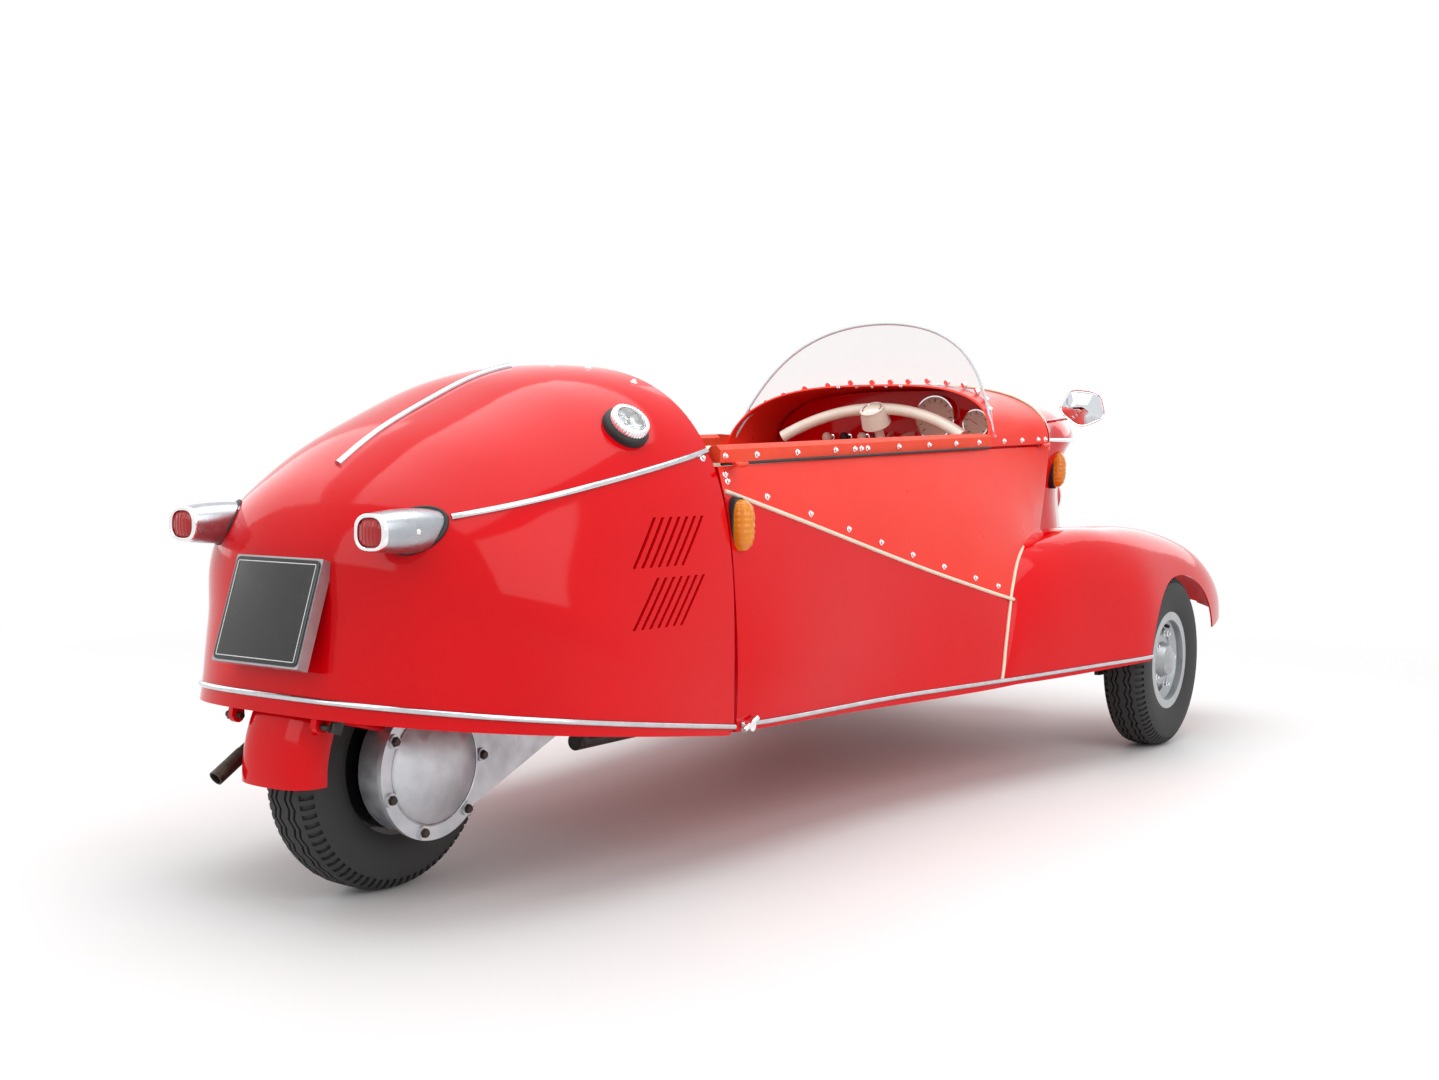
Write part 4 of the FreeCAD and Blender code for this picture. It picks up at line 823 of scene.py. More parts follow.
@dataclass
class Trim:
    """Aluminium mouldings, cream piping and chrome studs."""

    frame: dict
    lift: float = 0.001
    strip: float = 0.0048
    piping: float = 0.0038
    hem: tuple = ((430, 240), (468, 237), (632, 233), (785, 230), (941, 228), (1115, 225), (1302, 223),
                  (1856, 231))
    hem_up: float = 4
    moulding: float = 0.0055
    moulding_from: float = -92
    moulding_to: float = 416
    moulding_up: float = 604
    moulding_rise: float = 0.1965
    cowl_focus: float = 100
    cowl_turns: tuple = (-51.2, -180)
    cowl_front: float = 0.430
    cowl_hem_up: float = 0.240
    cowl_hem_rise: float = 0.145
    crown: float = 0.0065
    crown_from: float = 305
    crown_to: float = -88
    seam: float = 1772
    seam_low: float = 505
    seam_high: float = 730
    seam_lift: float = 0.0035
    shoulder_turn: float = 17
    slant_from: float = 434
    slant_to: float = 1404
    slant_up: float = 637
    slant_fall: float = 0.2545
    fender_low: float = 228
    fender_wall_top: float = 500
    fender_rear: float = 1290
    fender_joint: float = 1760
    fender_front: float = 2280
    nose_from: float = 1776
    nose_to: float = 2180
    nose_up: float = 738
    nose_bright: float = 0.005
    rail_middle: float = 354
    rail_from: float = 430
    rail_up: float = 695
    rail_rise: float = 0.0328
    # A black bead under each rail is a painted shadow line in the gap above the panel.
    shadow_line: float = 0.0028
    shadow_line_lift: float = 0.0022
    shadow_line_from: float = 446
    shadow_line_to: float = 1490
    rail_studs: tuple = (452, 552, 690, 830, 905, 930, 955, 1085, 1215, 1335, 1440, 1560, 1640, 1715, 1748)
    slant_studs: tuple = (448, 560, 690, 815, 930, 1045, 1160, 1275, 1360)
    slant_stud_up: float = 20
    corner_stud: tuple = (446, 665)
    cowl_studs: tuple = ((398, 38), (384, 62), (372, 74), (367, 84), (366, 96), (372, 106), (384, 118),
                         (398, 142))
    cowl_middle: float = 420

    def build(self) -> None:
        """Build the strips on each body."""
        body = Skin(self.frame, "tub_shell", "fender_right", "fender_left", "side_panel_right",
                    "side_panel_left")
        cowl = Skin(self.frame, "cowl_shell")
        nose = Skin(self.frame, "nose_shell")
        for sign, name in ((-1, "right"), (1, "left")):
            self.hem_strip(body, sign, name)
            self.side_moulding(cowl, sign, name)
            self.seam_piping(nose, sign, name)
            self.slant_piping(body, sign, name)
            self.fender_piping(sign, name)
            self.nose_strip(nose, sign, name)
            # A painted shadow line under each rail.
            self.rail_shadow_line(sign, name)
        self.cowl_hem(cowl)
        self.crown_moulding(cowl)
        self.studs(cowl)

    def strip_piece(self, name: str, points: Sequence[Vector], radius: float, body: str,
                    finish: Finish) -> None:
        """A strip along a line, left out where too few of its points were found.

        Args:
            name: The strip's name.
            points: The line in metres.
            radius: The strip's radius in metres.
            body: The body that carries it.
            finish: Its finish.
        """
        if len(points) > 2:
            fit(bead(name, points, radius), body, finish)

    def slant(self, ahead: float) -> float:
        """Height of the slanted edge between tub and upper panel."""
        return self.slant_up - (ahead - self.slant_from) * self.slant_fall

    def hem_strip(self, skin: Skin, sign: int, name: str) -> None:
        """Half-round aluminium along the tub's and fender's lower edge.

        Args:
            skin: The solids that the strip lies on.
            sign: -1 on the right, 1 on the left.
            name: The side's word in the strip's name.
        """
        hits = [skin.side(x, along_line(self.hem, x) + self.hem_up, sign) for x in span(438, 1846, 34)]
        self.strip_piece("hem_strip_" + name, proud(hits, self.lift), self.strip, "body",
                         Finishes.POLISHED_ALLOY)

    def side_moulding(self, skin: Skin, sign: int, name: str) -> None:
        """Aluminium moulding from beside the lamp to the seam.

        Args:
            skin: The solids that the strip lies on.
            sign: -1 on the right, 1 on the left.
            name: The side's word in the strip's name.
        """
        hits = [skin.side(x, self.moulding_up + (x - self.moulding_from) * self.moulding_rise, sign)
                for x in span(self.moulding_from, self.moulding_to, 16)]
        self.strip_piece("side_moulding_" + name, proud(hits, self.lift), self.moulding, "rear_cowl",
                         Finishes.POLISHED_ALLOY)

    def cowl_hem(self, skin: Skin) -> None:
        """Aluminium strip round the cowl above its rolled edge.

        Args:
            skin: The cowl.
        """
        points: list[Vector] = []
        focus = spot(self.cowl_focus, 0, 0)
        up = 0.243
        for turn in span(*self.cowl_turns, 60):
            angle = math.radians(turn)
            out = Vector((math.cos(angle), math.sin(angle), 0))
            for _ in range(3):
                found = skin.hit(Vector((focus.x, 0, up)) + out * 0.9, -out)
                if found:
                    ahead = found[0].x - REAR_AXLE_X
                    up = self.cowl_hem_up + self.cowl_hem_rise * (self.cowl_front - ahead)
            if found:
                points.append(found[0] + found[1] * self.lift)
        twin = [Vector((p.x, -p.y, p.z)) for p in points[::-1]]
        self.strip_piece("cowl_hem_strip", points + twin, self.strip, "rear_cowl", Finishes.POLISHED_ALLOY)

    def crown_moulding(self, skin: Skin) -> None:
        """Raised aluminium rib along the cowl's crown.

        Args:
            skin: The cowl.
        """
        hits = [skin.top(x, 0) for x in span(self.crown_from, self.crown_to, 14)]
        self.strip_piece("crown_moulding", proud(hits, self.lift), self.crown, "rear_cowl",
                         Finishes.POLISHED_ALLOY)

    def seam_piping(self, skin: Skin, sign: int, name: str) -> None:
        """Cream piping up the joint between panels and nose, to the top.

        Args:
            skin: The solids that the strip lies on.
            sign: -1 on the right, 1 on the left.
            name: The side's word in the strip's name.
        """
        hits = [skin.side(self.seam, z, sign) for z in span(self.seam_low, self.seam_high, 8)]
        first = self.shoulder_turn if sign < 0 else 180 - self.shoulder_turn
        hits += [skin.round(self.seam, turn) for turn in span(first, 90, 12)]
        self.strip_piece("seam_piping_" + name, proud(hits, self.seam_lift), self.piping, "body",
                         Finishes.CREAM_PIPING)

    def slant_piping(self, skin: Skin, sign: int, name: str) -> None:
        """Cream piping along the slanted edge between tub and upper panel.

        Args:
            skin: The solids that the strip lies on.
            sign: -1 on the right, 1 on the left.
            name: The side's word in the strip's name.
        """
        hits = [skin.side(x, self.slant(x), sign) for x in span(self.slant_from, self.slant_to, 22)]
        self.strip_piece("slant_piping_" + name, proud(hits, self.lift), self.piping, "body",
                         Finishes.CREAM_PIPING)

    def fender_piping(self, sign: int, name: str) -> None:
        """Cream piping where the fender meets the body: up the wall, then along the fender's top.

        Args:
            sign: -1 on the right, 1 on the left.
            name: The side's word in the piping's name.
        """
        fender = Skin(self.frame, "fender_" + name)
        body = Skin(self.frame, "tub_shell", "nose_shell", "side_panel_" + name)
        places: list[Vector] = []
        for up in span(self.fender_low, self.fender_wall_top, 12):
            low, high = self.fender_rear, self.fender_joint
            for _ in range(18):
                mid = (low + high) / 2
                outer, inner = fender.side(mid, up, sign), body.side(mid, up, sign)
                if outer and inner and abs(outer[0].y) > abs(inner[0].y):
                    high = mid
                else:
                    low = mid
            found = body.side(high, up, sign)
            if found and high < self.fender_joint - 5:
                places.append(found[0] + found[1] * 0.0015)
        for ahead in span(self.fender_joint, self.fender_front, 18):
            up = self.fender_wall_top
            for _ in range(5):
                wall = body.side(ahead, up, sign)
                if not wall:
                    break
                over = fender.hit(Vector((wall[0].x, wall[0].y + sign * 0.004, 0.9)), Vector((0, 0, -1)))
                if not over:
                    break
                up = over[0].z * 1000
            if wall and over:
                places.append(Vector((wall[0].x, wall[0].y + sign * 0.003, over[0].z + 0.001)))
        self.strip_piece("fender_piping_" + name, places, self.piping, "body", Finishes.CREAM_PIPING)

    def nose_strip(self, skin: Skin, sign: int, name: str) -> None:
        """Bright strip round the nose's shoulder.

        Args:
            skin: The solids that the strip lies on.
            sign: -1 on the right, 1 on the left.
            name: The side's word in the strip's name.
        """
        hits = [skin.side(x, self.nose_up, sign) for x in span(self.nose_from, self.nose_to, 16)]
        self.strip_piece("nose_strip_" + name, proud(hits, self.lift), self.nose_bright, "body",
                         Finishes.CHROME)

    def rail_shadow_line(self, sign: int, name: str) -> None:
        """Black bead along the rail's underside, a painted shadow line that closes the gap above the panel.

        Args:
            sign: -1 on the right, 1 on the left.
            name: The side's word in the bead's name.
        """
        rail = Skin(self.frame, "rail_" + name)
        hits = [rail.hit(spot(x, sign * self.rail_middle, 600), Vector((0, 0, 1)))
                for x in span(self.shadow_line_from, self.shadow_line_to, 24)]
        self.strip_piece("rail_shadow_line_" + name, proud(hits, self.shadow_line_lift), self.shadow_line, "canopy",
                         Finishes.BLACK_RUBBER)

    def studs(self, cowl: Skin) -> None:
        """Chrome turn buttons along the rails, the slanted edge and the cowl's seam.

        Args:
            cowl: The cowl.
        """
        rings = [(0.0062, -0.001), (0.0062, 0.0008), (0.0050, 0.0016), (0.0042, 0.0016), (0.0040, 0.0040),
                 (0.0026, 0.0056), (0.0, 0.0060)]
        for sign, side_name in ((-1, "right"), (1, "left")):
            rail = Skin(self.frame, "rail_" + side_name, "scuttle_panel")
            hits = [rail.side(x, self.rail_up + (x - self.rail_from) * self.rail_rise, sign)
                    for x in self.rail_studs]
            self.stud_row("rail_studs_" + side_name, rings, hits, "canopy")
        panel = Skin(self.frame, "side_panel_right", "side_panel_left", "tub_shell")
        for sign, side_name, body in ((-1, "right", "body"), (1, "left", "canopy")):
            hits = [panel.side(x, self.slant(x) + self.slant_stud_up, sign) for x in self.slant_studs]
            hits += [panel.side(*self.corner_stud, sign)]
            self.stud_row("slant_studs_" + side_name, rings, hits, body)
        hits = [cowl.round(x, turn, self.cowl_middle) for x, turn in self.cowl_studs]
        self.stud_row("cowl_studs", rings, hits, "rear_cowl")

    def stud_row(self, name: str, rings: Sequence[tuple[float, float]], hits: Sequence[Any],
                 body: str) -> None:
        """Studs square to a skin.

        Args:
            name: The row's name.
            rings: The stud's turned outline.
            hits: Places with normals, or None where a ray missed.
            body: The body that carries the row.
        """
        places = [facing(place, normal) for place, normal in (h for h in hits if h)]
        if places:
            stud = turned("stud", rings, AT_ORIGIN, 14)
            fit(copies(stud, name, places), body, Finishes.CHROME)


@dataclass
class Seats:
    """The seats' cushions and backs as sewn, padded leathercloth."""

    frame: dict
    voxel: float = 0.006
    cap: float = 0.012
    stitch: float = 0.006
    past_box: float = 0.004
    pressed_frames: int = 20
    fill: float = 0.75

    def build(self) -> None:
        """Build each pad from its solid."""
        for node, channels in (("front_seat_cushion", 4), ("front_seat_back", 4), ("rear_seat_cushion", 6),
                               ("rear_seat_back", 6)):
            self.pad(node, channels)

    def pad(self, node: str, channels: int) -> None:
        """Model one pad: a rounded block, swelled as cloth, then sewn in channels.

        Args:
            node: The solid that it replaces.
            channels: How many sewn channels run up it.
        """
        source = self.frame["nodes"][node]
        deselect()
        piece = source.copy()
        piece.data = source.data.copy()
        bpy.context.scene.collection.objects.link(piece)
        piece.parent = None
        for key in list(piece.keys()):
            del piece[key]
        rename(piece, node.replace("seat", "seat_pad"))
        pick(piece)
        bpy.ops.object.mode_set(mode="EDIT")
        bpy.ops.mesh.select_all(action="SELECT")
        bpy.ops.mesh.remove_doubles(threshold=0.0002)
        bpy.ops.mesh.normals_make_consistent(inside=False)
        bpy.ops.object.mode_set(mode="OBJECT")
        remesh = piece.modifiers.new("weave", "REMESH")
        remesh.mode = "VOXEL"
        remesh.voxel_size = self.voxel
        bpy.ops.object.modifier_apply(modifier=remesh.name)
        low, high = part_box(node)
        self.swell(piece)
        self.sew(piece, low, high, channels, "back" in node)
        smooth(piece, 180)
        fit(piece, "body", Finishes.CREAM_LEATHERCLOTH, node)

    def swell(self, piece: bpy.types.Object) -> None:
        """Let the pad's cover swell as pressed cloth, and cap how far it goes.

        Args:
            piece: The pad.
        """
        rest = [v.co.copy() for v in piece.data.vertices]
        pick(piece)
        cloth = piece.modifiers.new("cover", "CLOTH")
        cloth.settings.use_pressure = True
        cloth.settings.uniform_pressure_force = 4.0
        cloth.settings.effector_weights.gravity = 0.0
        cloth.settings.tension_stiffness = 20
        cloth.settings.compression_stiffness = 20
        cloth.settings.bending_stiffness = 1.0
        for step in range(1, self.pressed_frames + 1):
            bpy.context.scene.frame_set(step)
        bpy.ops.object.modifier_apply(modifier=cloth.name)
        bpy.context.scene.frame_set(1)
        for vertex, start in zip(piece.data.vertices, rest):
            move = vertex.co - start
            if move.length > self.cap:
                vertex.co = start + move.normalized() * self.cap

    def sew(self, piece: bpy.types.Object, low: Vector, high: Vector, channels: int, upright: bool) -> None:
        """Draw the cover in along its channels, and keep it inside its solid's box.

        Args:
            piece: The pad.
            low: The solid's lowest corner.
            high: The solid's highest corner.
            channels: How many channels.
            upright: Whether it is a back.
        """
        width = high.y - low.y
        for vertex in piece.data.vertices:
            share = (vertex.co.y - low.y) / width * channels
            gap = abs(share - round(share)) * width / channels
            if 0 < round(share) < channels:
                pull = self.stitch * math.exp(-(gap / self.stitch) ** 2)
                vertex.co -= vertex.normal * pull
            for axis in range(3):
                least, most = low[axis] - self.past_box, high[axis] + self.past_box
                vertex.co[axis] = min(max(vertex.co[axis], least), most)


@dataclass
class TailLamps:
    """Bezels, ribbed lenses, gaskets and screws of the two pods."""

    frame: dict
    left: float = 209
    up: float = 585
    end: float = -216
    across: float = 0.031
    rise: float = 0.027
    squareness: float = 2.7
    gasket: float = 0.0045
    gasket_reach: float = 1180
    gasket_steps: int = 24
    screw_ahead: float = -160

    def build(self) -> None:
        """Build both sides as one piece of each kind."""
        places = []
        for sign in (-1, 1):
            foot = spot(self.end, sign * self.left, self.up)
            places.append(facing(foot, Vector((-1, 0, 0))) @ Matrix.Diagonal((self.across, self.rise, 1, 1)))
        bezel = turned("bezel", [(0.80, -0.003), (0.80, 0.0045), (0.86, 0.0065), (0.95, 0.0062),
                                 (1.02, 0.003), (1.03, -0.002)], AT_ORIGIN, 40)
        squared(bezel, self.squareness)
        fit(copies(bezel, "tail_lamp_bezels", places), "rear_cowl", Finishes.CHROME)
        lens = turned("lens", [(0.79, -0.009), (0.79, 0.001), (0.72, 0.004), (0.55, 0.0062), (0.30, 0.0074),
                               (0.0, 0.0078)], AT_ORIGIN, 40)
        squared(lens, self.squareness)
        fit(copies(lens, "tail_lamp_domes", places), "rear_cowl", Finishes.RED_LENS, "tail_lamp_lenses")
        skin = Skin(self.frame, "cowl_shell")
        self.gaskets(skin)
        self.screws()

    def gaskets(self, skin: Skin) -> None:
        """Black rubber round each pod's foot, along the line where it meets the cowl.

        Args:
            skin: The cowl.
        """
        beads = []
        for sign in (-1, 1):
            ring = []
            for i in range(self.gasket_steps + 2):
                turn = 2 * math.pi * i / self.gasket_steps
                left = sign * self.left + math.cos(turn) * self.across * self.gasket_reach
                up = self.up + math.sin(turn) * self.rise * self.gasket_reach
                found = skin.hit(spot(-400, left, up), Vector((1, 0, 0)))
                if found:
                    ring.append(found[0] + found[1] * 0.001)
            beads.append(bead("gasket", ring, self.gasket))
        fit(joined("tail_lamp_gaskets", beads), "rear_cowl", Finishes.BLACK_RUBBER)

    def screws(self) -> None:
        """A raised-head screw in each pod's outer side."""
        pods = Skin(self.frame, "tail_lamp_pods")
        head = turned("screw", [(0.0045, -0.002), (0.0045, 0.0004), (0.0036, 0.0016), (0.0018, 0.0021),
                                (0.0, 0.0022)], AT_ORIGIN, 14)
        hits = [pods.side(self.screw_ahead, self.up, sign) for sign in (-1, 1)]
        fit(copies(head, "tail_lamp_screws", [facing(*hit) for hit in hits if hit]), "rear_cowl",
            Finishes.CHROME)


@dataclass
class Plate:
    """Bare black face with a thin light border on the plate block."""

    lean: float = 17.9
    back: float = -231
    up: float = 457
    block: float = 20
    width: float = 0.192
    height: float = 0.166
    corner: float = 0.009
    margin: float = 0.003
    face: float = 0.0025
    edge: float = 0.0008
    border: float = 0.0095
    border_corner: float = 0.005
    border_line: float = 0.0007

    def build(self) -> None:
        """Model the face and its border line."""
        lean = math.radians(self.lean)
        centre = spot(self.back + self.block * (1 - math.cos(lean)), 0, self.up + self.block * math.sin(lean))
        place = facing(centre, Vector((-math.cos(lean), 0, math.sin(lean))))
        deselect()
        bpy.ops.mesh.primitive_plane_add(size=1)
        face = rename(bpy.context.object, "plate_face")
        face.scale = (self.width - 2 * self.margin, self.height - 2 * self.margin, 1)
        settle(face)
        bpy.ops.object.mode_set(mode="EDIT")
        bpy.ops.mesh.select_all(action="SELECT")
        bpy.ops.mesh.bevel(affect="VERTICES", offset=self.corner, segments=5)
        bpy.ops.mesh.extrude_region_move(TRANSFORM_OT_translate={"value": (0, 0, self.face)})
        bpy.ops.mesh.select_all(action="SELECT")
        bpy.ops.mesh.normals_make_consistent(inside=False)
        bpy.ops.object.mode_set(mode="OBJECT")
        rim = face.modifiers.new("edge", "BEVEL")
        rim.width = self.edge
        rim.segments = 2
        pick(face)
        bpy.ops.object.modifier_apply(modifier=rim.name)
        face.data.transform(place)
        smooth(face)
        fit(face, "rear_cowl", Finishes.BLACK_GLOSS)
        x, y, cut = self.width / 2 - self.border, self.height / 2 - self.border, self.border_corner
        loop = [(0, -y), (x - cut, -y), (x, -y), (x, -y + cut), (x, y - cut), (x, y), (x - cut, y),
                (-x + cut, y), (-x, y), (-x, y - cut), (-x, -y + cut), (-x, -y), (-x + cut, -y), (0, -y)]
        line = bead("plate_border", [place @ Vector((a, b, self.face)) for a, b in loop], self.border_line)
        fit(line, "rear_cowl", Finishes.WHITE_ENAMEL)


@dataclass
class FuelCap:
    """Rubber gasket, fluted chrome ring and clear dome."""

    foot: tuple = (255, -297, 741)
    way: tuple = (-0.18, -0.72, 0.67)
    flutes: int = 36
    flute_depth: float = 0.0008

    def build(self) -> None:
        """Model the cap's three turned pieces."""
        place = facing(spot(*self.foot), Vector(self.way).normalized())
        gasket = turned("cap_gasket", [(0.0405, -0.014), (0.0405, 0.004), (0.0395, 0.007), (0.0365, 0.0095),
                                       (0.033, 0.010)], place, 48)
        fit(gasket, "rear_cowl", Finishes.BLACK_RUBBER, "fuel_cap")
        ring = turned("cap_ring", [(0.0335, 0.004), (0.0335, 0.019), (0.0325, 0.0215), (0.030, 0.0225),
                                   (0.0265, 0.0225), (0.0245, 0.020), (0.0245, 0.014)], AT_ORIGIN, 144)
        fluted(ring, self.flutes, self.flute_depth, 0.032)
        ring.data.transform(place)
        fit(ring, "rear_cowl", Finishes.CHROME)
        bed = turned("cap_bed", [(0.0246, 0.012), (0.0246, 0.0165), (0.006, 0.0168), (0.0, 0.0168)],
                     place, 32)
        fit(bed, "rear_cowl", Finishes.PIPE_STEEL)
        dome = turned("cap_dome", [(0.0245, 0.0175), (0.0238, 0.0215), (0.0205, 0.0255), (0.0145, 0.0283),
                                   (0.0075, 0.0297), (0.0, 0.030)], place, 40)
        fit(dome, "rear_cowl", Finishes.LAMP_GLASS)


@dataclass
class Flashers:
    """Four amber lenses with cross ribs on black bases."""

    frame: dict
    across: float = 0.0225
    rise: float = 0.0475
    ribs: int = 9
    rib_depth: float = 0.0011
    rib_foot: float = 0.012
    rear: tuple = (455, 579)
    front: tuple = (1915, 667)

    def build(self) -> None:
        """Build the bases and the lenses."""
        tub = Skin(self.frame, "tub_shell", "side_panel_right", "side_panel_left")
        nose = Skin(self.frame, "nose_shell")
        hits = [skin.side(*where, sign)
                for skin, where in ((tub, self.rear), (nose, self.front)) for sign in (-1, 1)]
        places = []
        for place, normal in (h for h in hits if h):
            flat = Vector((normal.x, normal.y, 0)).normalized()
            places.append(facing(place, flat) @ Matrix.Diagonal((self.across, self.rise, 1, 1)))
        base = turned("base", [(1.0, -0.014), (1.0, 0.0035), (0.95, 0.0055), (0.9, 0.006)], AT_ORIGIN, 32)
        squared(base, 2.6)
        fit(copies(base, "flasher_bases", places), "body", Finishes.BLACK_RUBBER)
        lens = turned("lens", [(0.93, 0.003), (0.92, 0.010), (0.88, 0.016), (0.78, 0.0215), (0.62, 0.0250),
                               (0.42, 0.0272), (0.2, 0.0283), (0.0, 0.0286)], AT_ORIGIN, 48)
        squared(lens, 2.8)
        for vertex in lens.data.vertices:
            if vertex.co.z > self.rib_foot:
                vertex.co.z += self.rib_depth * math.cos(vertex.co.y * self.ribs * math.pi)
        fit(copies(lens, "flasher_domes", places), "body", Finishes.AMBER_LENS, "flasher_lenses")


@dataclass
class DrivingMirror:
    """Chrome shell, glass and stalk of the mirror on the right."""

    head: tuple = (1774, -455, 812)
    foot: tuple = (1830, -330, 780)
    across: float = 0.053
    rise: float = 0.042
    gaze: tuple = (-1, -0.12, -0.02)
    tilt: float = -8
    stalk_radius: float = 0.0045

    def build(self) -> None:
        """Model shell, glass and stalk."""
        centre = spot(*self.head)
        place = facing(centre, Vector(self.gaze)) @ Matrix.Rotation(math.radians(self.tilt), 4, "Z")
        place = place @ Matrix.Diagonal((self.across, self.rise, 1, 1))
        shell = turned("mirror_shell", [(0.90, 0.0), (0.97, 0.003), (1.0, 0.001), (1.0, -0.004),
                                        (0.93, -0.012), (0.72, -0.019), (0.4, -0.023), (0.0, -0.024)],
                       AT_ORIGIN, 60)
        five_sided(shell)
        shell.data.transform(place)
        glass = turned("mirror_glass", [(0.905, 0.0), (0.905, 0.0015), (0.88, 0.0022), (0.0, 0.0026)],
                       AT_ORIGIN, 60)
        five_sided(glass)
        glass.data.transform(place)
        smooth(shell, 60)
        back = centre + Vector((0.018, 0.02, -0.004))
        bend = spot(self.foot[0] - 18, -400, self.foot[2] + 6)
        elbow = centre + Vector((0.034, 0.03, -0.012))
        stalk = bead("stalk", [back, elbow, bend, spot(*self.foot)], self.stalk_radius)
        fit(joined("mirror_shell", [shell, stalk]), "body", Finishes.CHROME, "mirror")
        fit(glass, "body", Finishes.MIRROR_GLASS)


@dataclass
class Headlamps:
    """Chrome bezels and their screws round the domed fluted glasses on the nose."""

    left: float = 100
    up: float = 590
    front: float = 2338
    radius: float = 0.066

    def build(self) -> None:
        """Build both sides as one piece of each kind."""
        places = [facing(spot(self.front, sign * self.left, self.up), Vector((1, 0, 0))) for sign in (-1, 1)]
        r = self.radius
        bezel = turned("bezel", [(r - 0.009, -0.004), (r - 0.009, 0.005), (r - 0.006, 0.008),
                                 (r - 0.002, 0.0075), (r + 0.0015, 0.003), (r + 0.0015, -0.008),
                                 (r - 0.001, -0.009)], AT_ORIGIN, 48)
        fit(copies(bezel, "headlamp_bezels", places), "body", Finishes.CHROME)
        screw = turned("screw", [(0.003, -0.002), (0.003, 0.0006), (0.0016, 0.0016), (0.0, 0.0018)],
                       AT_ORIGIN, 10)
        feet = [facing(spot(self.front + 7.5, sign * self.left, self.up - r * 1000 + 4), Vector((1, 0, 0)))
                for sign in (-1, 1)]
        fit(copies(screw, "headlamp_screws", feet), "body", Finishes.CHROME)


@dataclass
class DriveCase:
    """Bolts of the chain case's cover and a cast alloy ring round its dome."""

    axle_up: float = 207
    out: float = -124.8
    dome_out: float = -120
    circle: float = 104
    turns: tuple = (90, 150, 2, -49, -106, -159)

    def build(self) -> None:
        """Set a bolt on each lug and the dome's rolled edge."""
        bolt = turned("bolt", [(0.0085, -0.002), (0.0085, 0.001), (0.0066, 0.0012), (0.0066, 0.0052),
                               (0.0058, 0.006), (0.0, 0.006)], AT_ORIGIN, 6)
        places = []
        for turn in self.turns:
            angle = math.radians(turn)
            foot = spot(self.circle * math.cos(angle), self.out,
                        self.axle_up + self.circle * math.sin(angle))
            places.append(facing(foot, Vector((0, -1, 0))) @ Matrix.Rotation(angle, 4, "Z"))
        fit(copies(bolt, "cover_bolts", places), "body", Finishes.PIPE_STEEL)
        ring = turned("cover_ring", [(0.0905, -0.001), (0.0935, -0.001), (0.0938, 0.0015), (0.0925, 0.0028),
                                     (0.0908, 0.0018)],
                      facing(spot(0, self.dome_out, self.axle_up), Vector((0, -1, 0))), 72, False)
        fit(ring, "body", Finishes.CAST_ALLOY)


